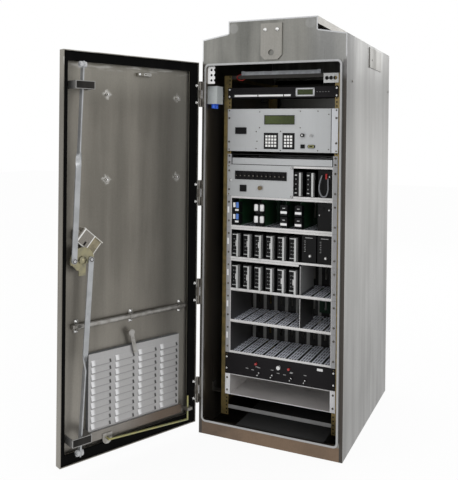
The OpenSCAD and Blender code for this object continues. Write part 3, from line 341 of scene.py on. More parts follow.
@dataclass(frozen=True)
class HousingSheet(MillSheet):
    """The housing's sheet: side walls painted paler as lit faces, painted highlights on its folds, a browned
    plinth and painted shade on its inside faces.
    """

    # Side walls are painted paler, as lit faces.
    side: Rgb = srgb(172, 171, 168)
    # Painted shade for the faces that look into the cabinet.
    inside: Rgb = srgb(104, 98, 89)
    foot_pan: Rgb = srgb(62, 56, 50)
    # Colour of the painted highlights on folds, lips and header; the faint weld rings use it too.
    highlight_and_weld: Rgb = srgb(196, 197, 199)
    plinth: Rgb = srgb(119, 101, 85)
    plinth_dark: Rgb = srgb(93, 81, 71)
    shade: Rgb = srgb(72, 68, 64)
    plinth_z: Span = (0.058, 0.05)
    pan_z: Span = (0.12, 0.1)
    jamb_x: Span = (0.2905, 0.292)
    corner_x: Span = (0.3, 0.3015)
    front_y: Span = (0.394, 0.396)
    header_z: float = 1.53
    header_fade: float = 0.01
    ridge_z: Span = (1.6885, 1.6905)
    eave: Span = (0.1885, 1.6441)
    fall: float = 0.1717
    weld_marks: tuple[Span, ...] = ((-0.166, 1.664), (0.160, 1.670))
    weld_r: float = 0.021

    def painted_flank(self, graph: Graph, place: Sock) -> Sock:
        """Colour of a side wall, painted paler than the front as a lit face.

        Args:
            graph: Material's graph.
            place: Place on the surface.

        Returns:
            Upright streaks of painted reflection, and painted shade towards the wall's foot, its top and its
            upper front corner.
        """
        _, y, z = graph.parts(place)
        reflection_bands = graph.noise(graph.stretch(place, (0.0, 16.0, 0.35)), 1.3, 3.0)
        level = 0.9 + reflection_bands * 0.24 - z.ramp(1.2, 0.1) * 0.52 - z.ramp(1.1, 1.58) * 0.46
        return graph.dim(self.side, level - y.ramp(-0.2, -0.38) * z.ramp(0.85, 1.05) * 0.3)

    def painted_fold_highlights(self, wide: Sock, z: Sock) -> Sock:
        """Mask of the painted highlights along the front's folds.

        Args:
            wide: Distance from the middle plane.
            z: Height.

        Returns:
            The folds along the roof's slopes, its ridge, the hood's feet and the header's corners.
        """
        low = self.eave[1] - (wide - self.eave[0]) * self.fall
        slope = (z - low).ramp(-6 * MM, -4 * MM) * wide.ramp(self.eave[0] - 1 * MM, self.eave[0] + 1.5 * MM)
        foot = wide.ramp(0.1835, 0.185) * z.ramp(1.641, 1.644) * wide.ramp(0.192, 0.19)
        corner = wide.ramp(*self.corner_x) * z.ramp(self.header_z, self.header_z + self.header_fade)
        return slope | z.ramp(*self.ridge_z) | foot | corner

    def colour(self, graph: Graph, place: Sock) -> tuple[Sock, Sock]:
        """Colour by the way each face looks and where it lies.

        Args:
            graph: Material's graph.
            place: Place on the surface.

        Returns:
            The colour and a mask of its clouds.
        """
        tone, mask = super().colour(graph, place)
        x, y, z = graph.parts(place)
        nx, ny, nz = graph.parts(graph.facing())
        wide, front = abs(x), abs(ny).ramp(0.6, 0.9)
        # Side walls take the painted light, reflection and shade of the flank.
        tone = graph.blend(tone, self.painted_flank(graph, place), abs(nx).ramp(0.6, 0.9))
        # The plinth is browner, and darker towards the left, with random scuffs.
        scuffs = graph.noise(place, 16.0, 4.0).ramp(0.45, 0.7)
        foot = graph.blend(self.plinth, self.plinth_dark, x.ramp(-0.06, -0.28) * 0.7 + scuffs * 0.3)
        tone = graph.blend(tone, foot, z.ramp(*self.plinth_z) * front)
        jamb = wide.ramp(*self.jamb_x) * z.ramp(self.header_z, self.header_z - self.header_fade)
        tone = graph.blend(tone, self.shade, jamb * front)
        for middle in self.weld_marks:
            ring = spot(x, z, middle, self.weld_r).ramp(1.15, 0.75)
            tone = graph.blend(tone, self.highlight_and_weld, ring * front * 0.12)
        # Painted highlights along the roof's slopes, ridge, hood feet and header corners.
        tone = graph.blend(tone, self.highlight_and_weld, self.painted_fold_highlights(wide, z) * front * 0.85)
        # Painted highlight on the front and rear lips.
        tone = graph.blend(tone, self.highlight_and_weld, abs(y).ramp(*self.front_y) * 0.5)
        # Painted reflection: the front header is lighter towards its right.
        tone = graph.blend(tone, self.highlight_and_weld, x.ramp(0.12, 0.22) * z.ramp(1.44, 1.48) * front * 0.2)
        # Painted shade on the faces that look into the cabinet.
        tone = graph.blend(tone, self.inside, (x * nx + y * ny * 0.2).ramp(-0.12, -0.2))
        return graph.blend(tone, self.foot_pan, nz.ramp(0.5, 0.8) * z.ramp(*self.pan_z)), mask


@dataclass(frozen=True)
class DoorSheet(MillSheet):
    """The door's skin, with the bright flashes that the welded studs leave round their feet, and a painted
    reflection along its top rim.
    """

    # Colour of the studs' flashes, also used for the painted reflection at the top rim.
    stud_flash_and_sheen: Rgb = srgb(214, 213, 209)
    outside: Rgb = srgb(146, 146, 144)
    worn: Rgb = srgb(160, 160, 158)
    flash_r: float = 0.026
    rim_z: Span = (1.464, 1.484)

    def colour(self, graph: Graph, place: Sock) -> tuple[Sock, Sock]:
        """Colour with the studs' flashes and the painted reflection at the rim inside, and a plain skin
        outside.

        Args:
            graph: Material's graph.
            place: Place on the surface.

        Returns:
            The colour and a mask of its clouds.
        """
        tone, mask = super().colour(graph, place)
        u, z = graph.on_door(place)
        ragged = graph.noise(place, 95.0, 3.0)
        looks = graph.along(graph.facing(), INWARD)
        inner = looks.ramp(0.3, 0.6)
        for stud_z in STUD_ZS:
            for stud_u in STUD_US:
                off_u, off_z = (u - stud_u * MM) / self.flash_r, (z - stud_z * MM) / self.flash_r
                glow = (off_u * off_u + off_z * off_z + ragged * 1.6).ramp(1.5, 0.6)
                rays = abs(off_u * off_z + (ragged - 0.5) * 0.9).ramp(0.3, 0.02)
                tone = graph.blend(tone, self.stud_flash_and_sheen, glow * rays * inner * 0.9)
        # Painted reflection: bright smears along the inner face's top rim.
        smears = graph.noise(graph.stretch(place, (9.0, 9.0, 50.0)), 1.5, 3.0)
        rim = z.ramp(*self.rim_z) * smears.ramp(0.46, 0.66) * inner
        tone = graph.blend(tone, self.stud_flash_and_sheen, rim * 0.45)
        # The outside's clouds, partly painted reflection, take the worn colour.
        plain = graph.blend(self.outside, self.worn, mask * 0.4)
        return graph.blend(tone, plain, looks.ramp(-0.5, -0.8)), mask


@dataclass(frozen=True)
class LouvreSheet(MillSheet):
    """Pressed louvres: painted highlights on the ends to the free side, painted shade on the ends to the
    hinge side, and a painted shade line under each.
    """

    # Colours of the painted highlights and the painted shade.
    bright: Rgb = srgb(226, 226, 227)
    dark: Rgb = srgb(52, 51, 50)
    start_u: float = 90.0 * MM
    start_z: float = 150.8 * MM
    pitch_u: float = 100.75 * MM
    pitch_z: float = 25.78 * MM
    top_z: Span = (0.398, 0.396)

    def colour(self, graph: Graph, place: Sock) -> tuple[Sock, Sock]:
        """Colour by the way each face looks and where it lies in its louvre.

        Args:
            graph: Material's graph.
            place: Place on the surface.

        Returns:
            The colour and a mask of its clouds.
        """
        tone, mask = super().colour(graph, place)
        facing = graph.facing()
        side, lift = graph.along(facing, ACROSS), graph.parts(facing)[2]
        across, height = graph.on_door(place)
        u, z = (across - self.start_u) % self.pitch_u, (height - self.start_z) % self.pitch_z
        hood = lift.ramp(0.2, 0.28)
        under = u.ramp(10 * MM, 14 * MM) * u.ramp(92 * MM, 88 * MM) * z.ramp(19.0 * MM, 24.5 * MM)
        under = under * (1 - hood) * height.ramp(*self.top_z)
        # Painted highlight on the hoods' free-side ends and on faces that look to the free side.
        tone = graph.blend(tone, self.bright, (hood * u.ramp(72 * MM, 84 * MM)) | side.ramp(0.5, 0.8))
        # Painted shade line under each hood.
        tone = graph.blend(tone, self.dark, under * 0.62)
        # Painted shade on the hinge-side ends, and on faces that look to the hinge side or down.
        ends = hood * u.ramp(21 * MM, 14 * MM) * z.ramp(14.5 * MM, 9 * MM)
        return graph.blend(tone, self.dark, ends | side.ramp(-0.5, -0.8) | lift.ramp(-0.7, -0.9)), mask


@dataclass(frozen=True)
class GuideSheet(MillSheet):
    """Rod guide: painted shade where it looks into the cabinet, bare metal on its edges."""

    bare: Rgb = srgb(150, 149, 147)
    middle_z: float = 0.7745
    rise: float = 0.6312
    half: Span = (0.0122, 0.0126)
    far_u: Span = (0.5782, 0.5786)
    near_u: Span = (0.5082, 0.5078)

    def colour(self, graph: Graph, place: Sock) -> tuple[Sock, Sock]:
        """Colour by the way each face looks.

        Args:
            graph: Material's graph.
            place: Place on the surface.

        Returns:
            The colour and a mask of its clouds.
        """
        tone, mask = super().colour(graph, place)
        u, z = graph.on_door(place)
        off = abs(abs(z - self.middle_z) - self.rise)
        rim = off.ramp(*self.half) | u.ramp(*self.far_u) | u.ramp(*self.near_u)
        inner = graph.along(graph.facing(), INWARD).ramp(0.3, 0.6)
        # Painted shade on the faces that look into the cabinet.
        return graph.blend(self.bare, tone, inner * (1 - rim)), mask


@dataclass(frozen=True)
class FileSheet(MillSheet):
    """Card file's sheet, with painted shade on its walls, painted light on its floor, and rows of fine vent
    slits in its floor between the guides.
    """

    slit: Rgb = srgb(16, 16, 18)
    # Painted shade of the walls, painted light of the open bay's wall and of the floor.
    wall: Rgb = srgb(54, 53, 53)
    bay_light: Rgb = srgb(150, 150, 150)
    floor: Rgb = srgb(240, 243, 254)
    ear: Rgb = srgb(166, 166, 168)
    ear_x: Span = (0.2222, 0.2226)
    mouth_y: Span = (-0.2705, -0.2695)
    bay_x: Span = (0.08, 0.085)
    bay_low: Span = (0.585, 0.59)
    bay_high: Span = (0.71, 0.705)
    groove: float = 5.0 * MM
    slit_off: float = 11 * MM
    slit_half: Span = (2.9 * MM, 2.2 * MM)
    slit_step: float = 38 * MM
    slit_end: Span = (30 * MM, 29 * MM)

    def colour(self, graph: Graph, place: Sock) -> tuple[Sock, Sock]:
        """Colour with painted shade on the walls, painted light on the open bay's wall and on the floor, and
        with slits and grooves in the floor.

        Args:
            graph: Material's graph.
            place: Place on the surface.

        Returns:
            The colour and a mask of its clouds.
        """
        tone, mask = super().colour(graph, place)
        x, y, z = graph.parts(place)
        nx, _, lift = graph.parts(graph.facing())
        tone = graph.blend(tone, self.ear, abs(x).ramp(*self.ear_x))
        open_bay = nx.ramp(0.6, 0.8) * x.ramp(*self.bay_x) * z.ramp(*self.bay_low) * z.ramp(*self.bay_high)
        inside = y.ramp(*self.mouth_y)
        # Painted shade on the walls inside the file, painted light on the open bay's wall.
        tone = graph.blend(tone, graph.blend(self.wall, self.bay_light, open_bay), abs(nx).ramp(0.6, 0.8) * inside)
        level = lift.ramp(0.7, 0.9) * inside
        # Painted light on the floor that faces up.
        tone = graph.blend(tone, self.floor, level)
        off = abs((x + LANE_FIRST) % LANE_PITCH - LANE_PITCH / 2)
        lines = off.ramp(*self.slit_half) | abs(off - self.slit_off).ramp(*self.slit_half)
        broken = (y % self.slit_step).ramp(*self.slit_end)
        edge = LANE_PITCH / 2 - self.groove
        grooves = off.ramp(edge - 1 * MM, edge + 0.5 * MM)
        return graph.blend(tone, self.slit, ((lines * broken * 0.85) | grooves) * level), mask


@dataclass(frozen=True)
class Plating:
    """Plated steel with a cloudy second colour, as chromate and zinc have."""

    name: str
    face: Rgb
    second: Rgb
    rough: float = 0.34
    metal: float = 0.85
    cloud_scale: float = 45.0
    worn: Rgb = srgb(196, 196, 192)

    def marks(self, graph: Graph, place: Sock, tone: Sock) -> tuple[Sock, dict[str, Sock]]:
        """Adds bare flecks to the plating.

        Args:
            graph: Material's graph.
            place: Place on the surface.
            tone: Colour of the plating.

        Returns:
            The colour with its marks, and more sockets of the shader.
        """
        fine = graph.noise(place, 520.0, 2.0)
        flecked = graph.blend(tone, self.worn, fine.ramp(0.62, 0.76) * 0.35)
        return flecked, {"Normal": graph.bump(fine, 0.06)}

    def material(self) -> bpy.types.Material:
        """Builds the plating's material."""
        graph = Graph(self.name)
        place = graph.where()
        clouds = graph.noise(place, self.cloud_scale, 4.0)
        tone, more = self.marks(graph, place, graph.blend(self.face, self.second, clouds.ramp(0.38, 0.66)))
        graph.surface(Base_Color=tone, Metallic=self.metal,
                      Roughness=self.rough + (clouds - 0.5) * 0.2, **more)
        return graph.owner


@dataclass(frozen=True)
class CamPlate(Plating):
    """Yellow-plated cam whose pin heads are bare steel with a dark rim."""

    head: Rgb = srgb(178, 178, 180)
    rim: Rgb = srgb(52, 50, 48)
    pin_us: Span = (0.5052, 0.5712)
    pin_z: float = 0.7818
    pin_r: float = 9 * MM
    head_v: Span = (26.7 * MM, 26.9 * MM)

    def marks(self, graph: Graph, place: Sock, tone: Sock) -> tuple[Sock, dict[str, Sock]]:
        """Adds the pin heads.

        Args:
            graph: Material's graph.
            place: Place on the surface.
            tone: Colour of the plating.

        Returns:
            The colour with its marks, and no more sockets.
        """
        u, z = graph.on_door(place)
        heads = (graph.along(place, INWARD) - INWARD_AT).ramp(*self.head_v)
        for pin_u in self.pin_us:
            off = spot(u, z, (pin_u, self.pin_z), self.pin_r)
            steel = graph.blend(self.head, self.rim, off.ramp(0.3, 0.42) * off.ramp(0.9, 0.75))
            tone = graph.blend(tone, steel, heads * off.ramp(1.6, 1.4))
        return tone, {}


@dataclass(frozen=True)
class LockPlate(Plating):
    """Lock case: a bare steel end, a brassy cover and bright edges between them."""

    bare: Rgb = srgb(128, 124, 117)
    edge: Rgb = srgb(226, 225, 222)
    slot: Rgb = srgb(24, 22, 20)
    middle: Span = (0.5042, 0.8428)
    turn: float = math.radians(40.4)

    def marks(self, graph: Graph, place: Sock, tone: Sock) -> tuple[Sock, dict[str, Sock]]:
        """Adds the bare end, the edges and the slot, by distances along and over the turned case.

        Args:
            graph: Material's graph.
            place: Place on the surface.
            tone: Colour of the plating.

        Returns:
            The colour with its marks, and no more sockets.
        """
        across, height = graph.on_door(place)
        u, z = across - self.middle[0], height - self.middle[1]
        cos, sin = math.cos(self.turn), math.sin(self.turn)
        far, over = u * cos + z * sin, z * cos - u * sin
        tone = graph.blend(tone, self.bare, far.ramp(-6 * MM, -4 * MM))
        edges = abs(far + 7 * MM).ramp(3.5 * MM, 1.5 * MM) | abs(far - 41 * MM).ramp(3.5 * MM, 1.5 * MM)
        border = abs(over).ramp(25 * MM, 26.5 * MM) | far.ramp(-44 * MM, -45.5 * MM)
        tone = graph.blend(tone, self.edge, edges | border * 0.6)
        slot = abs(far - 11 * MM).ramp(4.5 * MM, 3.5 * MM) * over.ramp(-7 * MM, -9 * MM)
        return graph.blend(tone, self.slot, slot * over.ramp(-24 * MM, -22 * MM)), {}


@dataclass(frozen=True)
class PostPlate(Plating):
    """Yellow-plated rack posts with their rows of mounting holes, and rails between them, bare below and in
    painted shade above.
    """

    shaded: Rgb = srgb(46, 44, 41)
    bare: Rgb = srgb(172, 172, 172)
    bore: Rgb = srgb(26, 20, 14)
    hole_x: float = 0.2343
    pitch: float = 15.875 * MM
    radius: float = 3.6 * MM
    rise: float = 4 * MM
    front_y: Span = (-0.2715, -0.272)
    rail_x: Span = (0.2265, 0.226)

    def marks(self, graph: Graph, place: Sock, tone: Sock) -> tuple[Sock, dict[str, Sock]]:
        """Adds the holes, and the rails: bare below, in painted shade above.

        Args:
            graph: Material's graph.
            place: Place on the surface.
            tone: Colour of the plating.

        Returns:
            The colour with its marks, and no more sockets.
        """
        x, y, z = graph.parts(place)
        off = spot(abs(x), (z + self.rise) % self.pitch, (self.hole_x, self.pitch / 2), self.radius)
        tone = graph.blend(tone, self.bore, off.ramp(1.1, 0.8) * y.ramp(*self.front_y))
        # Painted shade on the upper rails.
        rail = graph.blend(self.bare, self.shaded, z.ramp(0.9, 1.0))
        return graph.blend(tone, rail, abs(x).ramp(*self.rail_x)), {}


@dataclass(frozen=True)
class Coat:
    """Paint, moulded plastic or rubber with a fine texture and a little dust."""

    name: str
    face: Rgb
    dust: Rgb
    rough: float = 0.45
    texture: float = 0.12
    scale: float = 900.0
    gloss: float = 0.0
    dusty: float = 0.35
    shine: float = 0.5

    def material(self) -> bpy.types.Material:
        """Builds the coat's material."""
        graph = Graph(self.name)
        place = graph.where()
        fine = graph.noise(place, self.scale, 2.0)
        smears = graph.noise(graph.stretch(place, (1.0, 1.0, 0.5)), 14.0, 5.0)
        tone = graph.blend(self.face, self.dust, smears.ramp(0.5, 0.78) * self.dusty)
        graph.surface(Base_Color=tone, Roughness=self.rough + (smears - 0.5) * 0.2,
                      Normal=graph.bump(fine, self.texture), Coat_Weight=self.gloss,
                      Specular_IOR_Level=self.shine)
        return graph.owner


@dataclass(frozen=True)
class Board:
    """Coated circuit board with copper runs under the green."""

    name: str
    face: Rgb = srgb(22, 52, 32)
    run: Rgb = srgb(38, 84, 48)
    scale: float = 170.0
    gloss: float = 0.2

    def material(self) -> bpy.types.Material:
        """Builds the board's material."""
        graph = Graph(self.name)
        cells = graph.get("ShaderNodeTexVoronoi", {"distance": "MANHATTAN"},
                          {"Vector": graph.where(), "Scale": self.scale})
        tone = graph.blend(self.face, self.run, cells.ramp(0.3, 0.5) * 0.6)
        graph.surface(Base_Color=tone, Roughness=0.34 + cells * 0.1, Normal=graph.bump(cells, 0.1),
                      Coat_Weight=self.gloss)
        return graph.owner


@dataclass(frozen=True)
class BusBoard:
    """Back of the card rows: dark openings between upright rails, green where a board closes them."""

    name: str
    dark: Rgb = srgb(22, 22, 22)
    rail: Rgb = srgb(124, 124, 122)
    green: Rgb = srgb(20, 46, 30)
    rail_half: Span = (8 * MM, 7 * MM)
    shine: float = 0.2

    def material(self) -> bpy.types.Material:
        """Builds the back's material."""
        graph = Graph(self.name)
        place = graph.where()
        x, _, z = graph.parts(place)
        fine = graph.noise(place, 120.0, 3.0)
        rails = abs((x + LANE_FIRST) % LANE_PITCH - LANE_PITCH / 2).ramp(*self.rail_half)
        tone = graph.blend(self.dark, self.rail, rails)
        boards = (x.ramp(0.1, 0.102) * z.ramp(0.46, 0.462) * z.ramp(0.57, 0.568)) | z.ramp(0.84, 0.842)
        tone = graph.dim(graph.blend(tone, self.green, boards), 0.8 + fine * 0.4)
        graph.surface(Base_Color=tone, Roughness=0.42 + fine * 0.2, Normal=graph.bump(fine, 0.08),
                      Specular_IOR_Level=self.shine)
        return graph.owner


@dataclass(frozen=True)
class Window:
    """Display window: tinted film behind clear plastic, darker towards its frame."""

    name: str
    face: Rgb = srgb(76, 86, 50)
    rim: Rgb = srgb(34, 42, 22)
    shadow: Rgb = srgb(16, 18, 10)
    middle: Span = (-0.007, 1.29785)
    half: Span = (0.067, 0.0195)
    lip: float = 3.5 * MM
    top_z: Span = (1.36, 1.35)
    shine: float = 0.2

    def material(self) -> bpy.types.Material:
        """Builds the window's material."""
        graph = Graph(self.name)
        place = graph.where()
        x, _, z = graph.parts(place)
        cells = graph.noise(graph.stretch(place, (1.0, 1.0, 3.0)), 60.0, 2.0)
        sheen = (x - z * 0.4 + 0.515).ramp(-0.06, 0.05)
        tone = graph.blend(self.face, self.rim, sheen * 0.55)
        tone = graph.blend(tone, self.rim, cells.ramp(0.5, 0.75) * 0.4)
        near = [abs(at - mid).ramp(half - self.lip, half - self.lip + 1 * MM)
                for at, mid, half in zip((x, z), self.middle, self.half)]
        tone = graph.blend(tone, self.shadow, (near[0] | near[1]) * z.ramp(*self.top_z))
        graph.surface(Base_Color=tone, Roughness=0.22 + cells * 0.1, Specular_IOR_Level=self.shine)
        return graph.owner


@dataclass(frozen=True)
class Split:
    """Two coats on one node, parted by a plane."""

    name: str
    first: Rgb
    second: Rgb
    axis: Point
    level: float
    rough: float = 0.42
    soft: float = 0.4 * MM

    def material(self) -> bpy.types.Material:
        """Builds the parted material."""
        graph = Graph(self.name)
        place = graph.where()
        side = graph.along(place, self.axis).ramp(self.level - self.soft, self.level + self.soft)
        fine = graph.noise(place, 240.0, 3.0)
        tone = graph.dim(graph.blend(self.first, self.second, side), 0.86 + fine * 0.28)
        graph.surface(Base_Color=tone, Roughness=self.rough + (fine - 0.5) * 0.2,
                      Normal=graph.bump(fine, 0.05))
        return graph.owner


class Finishes:
    """Every finish of the cabinet, made once each."""

    def __init__(self) -> None:
        """Builds the materials."""
        near, far = DOOR_AT + 0.05, DOOR_AT + 0.33
        kinds = (
            HousingSheet("housing_sheet", srgb(100, 100, 96), srgb(142, 141, 136)),
            MillSheet("hood_sheet", srgb(128, 125, 119), srgb(152, 149, 143)),
            MillSheet("plate_sheet", srgb(134, 132, 127), srgb(150, 148, 142), clouds=0.6),
            MillSheet("cover_sheet", srgb(108, 106, 100), srgb(116, 114, 108), clouds=0.5),
            # The door's tints are painted reflection of the room: darker across the hinge side, lighter at
            # the hinge edge, at the top and towards the foot.
            DoorSheet("door_sheet", srgb(130, 126, 118), srgb(108, 105, 98), rough=0.42, grain=0.2,
                      clouds=0.7,
                      tints=(Tint(ACROSS, far, near, srgb(94, 92, 87), 0.65),
                             Tint(ACROSS, near + 0.1, near, srgb(150, 147, 139), 0.75),
                             Tint(Way.UP.value, 1.34, 1.47, srgb(156, 153, 144), 0.5),
                             Tint(Way.DOWN.value, -0.66, -0.1, srgb(150, 146, 139), 0.6))),
            MillSheet("rear_sheet", srgb(146, 146, 144), srgb(160, 160, 158), clouds=0.4),
            LouvreSheet("louvre_sheet", srgb(166, 165, 165), srgb(176, 175, 174), grain=0.1, clouds=0.5,
                        metal=0.5),
            MillSheet("trough_sheet", srgb(124, 120, 115), srgb(138, 134, 128),
                      tints=(Tint(ACROSS, DOOR_AT + 0.42, DOOR_AT + 0.16, srgb(92, 78, 66), 0.85),)),
            # The guide's dark colours are painted shade.
            GuideSheet("guide_sheet", srgb(34, 33, 32), srgb(56, 54, 52)),
            MillSheet("panel_sheet", srgb(180, 182, 183), srgb(192, 194, 195), grain=0.07, clouds=0.4,
                      metal=0.5, tints=(Tint(Way.RIGHT.value, 0.2145, 0.2155, srgb(206, 208, 212)),)),
            FileSheet("sleeve_sheet", srgb(26, 26, 26), srgb(38, 38, 38), metal=0.2, wall=srgb(24, 24, 24),
                      floor=srgb(32, 32, 32)),
            FileSheet("file_sheet", srgb(212, 211, 210), srgb(226, 225, 224), grain=0.1, clouds=0.5,
                      metal=0.12),
            # The tray's tints are painted light: lighter towards its back and along its front edge.
            MillSheet("tray_sheet", srgb(186, 182, 180), srgb(196, 192, 190), grain=0.1, metal=0.0,
                      tints=(Tint(Way.BACK.value, -0.25, -0.08, srgb(248, 244, 241)),
                             Tint(Way.FRONT.value, 0.2695, 0.2705, srgb(240, 240, 242)))),
            MillSheet("handle_sheet", srgb(186, 187, 186), srgb(204, 205, 204), grain=0.1, rough=0.3,
                      metal=0.5),
            Plating("zinc", srgb(140, 137, 132), srgb(166, 164, 160)),
            Plating("lamp_grey", srgb(138, 141, 145), srgb(160, 163, 167), metal=0.3),
            # Painted shade: the cage brackets are coloured dark.
            Plating("bracket_in_shade", srgb(46, 44, 41), srgb(62, 60, 56), metal=0.4),
            MillSheet("fuse_caps", srgb(206, 206, 204), srgb(226, 226, 226), rough=0.2, metal=0.6,
                      tints=(Tint(Way.UP.value, 0.6, 0.7, srgb(110, 96, 74)),
                             Tint(Way.UP.value, 1.1, 1.12, srgb(22, 22, 22)))),
            Plating("hinge_steel", srgb(92, 88, 82), srgb(120, 116, 110)),
            Plating("rod_zinc", srgb(156, 158, 160), srgb(172, 174, 176), metal=0.6, cloud_scale=20.0),
            CamPlate("yellow_zinc", srgb(148, 142, 114), srgb(130, 126, 106), metal=0.7),
            Plating("stay_zinc", srgb(164, 158, 104), srgb(146, 150, 112), metal=0.7),
            LockPlate("lock_nickel", srgb(142, 134, 112), srgb(120, 113, 94), metal=0.8, rough=0.24),
            PostPlate("post_zinc", srgb(138, 120, 76), srgb(112, 100, 66), metal=0.5),
            Plating("bright", srgb(206, 206, 204), srgb(226, 226, 226), rough=0.2),
            Coat("seal", srgb(9, 9, 9), srgb(24, 23, 22), rough=0.8, texture=0.3, dusty=0.4, shine=0.05),
            Coat("black_paint", srgb(22, 20, 22), srgb(40, 38, 39), rough=0.5, shine=0.15),
            Coat("black_moulding", srgb(16, 16, 17), srgb(40, 39, 39), rough=0.42, shine=0.15),
            Coat("module_face", srgb(15, 15, 16), srgb(36, 36, 38), rough=0.38, shine=0.15),
            Coat("roller_nylon", srgb(178, 179, 181), srgb(140, 140, 140), rough=0.3, gloss=0.3),
            Coat("label_white", srgb(236, 236, 236), srgb(214, 212, 208), rough=0.55),
            Coat("frame_grey", srgb(196, 197, 199), srgb(170, 170, 172), rough=0.4),
            Coat("label_grey", srgb(150, 150, 150), srgb(110, 110, 110), rough=0.55),
            Coat("key_white", srgb(240, 240, 238), srgb(220, 220, 216), rough=0.35, gloss=0.2),
            Coat("grey_cable", srgb(128, 130, 134), srgb(96, 97, 100)),
            Coat("red_lead", srgb(176, 26, 22), srgb(120, 30, 26), rough=0.4),
            Coat("red_lens", srgb(164, 26, 22), srgb(120, 20, 18), rough=0.2, gloss=0.5),
            Coat("blue_moulding", srgb(88, 128, 206), srgb(64, 94, 160), rough=0.4),
            Coat("filter_pad", srgb(96, 98, 100), srgb(70, 71, 72), rough=0.9, texture=0.8, scale=260.0),
            Board("board"),
            BusBoard("bus_board"),
            Window("window"),
            Split("service_box", srgb(52, 104, 222), srgb(186, 191, 191), Way.UP.value, 1.3621),
        )
        self._made = {kind.name: kind.material() for kind in kinds}

    def __getitem__(self, name: str) -> bpy.types.Material:
        """Material of that name."""
        return self._made[name]

    def dress(self, finish: str, nodes: Iterable[str]) -> None:
        """Gives CAD nodes a finish.

        Args:
            finish: Name of the finish.
            nodes: Names of the nodes.
        """
        for node in nodes:
            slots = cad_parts[node].data.materials
            slots.clear()
            slots.append(self[finish])


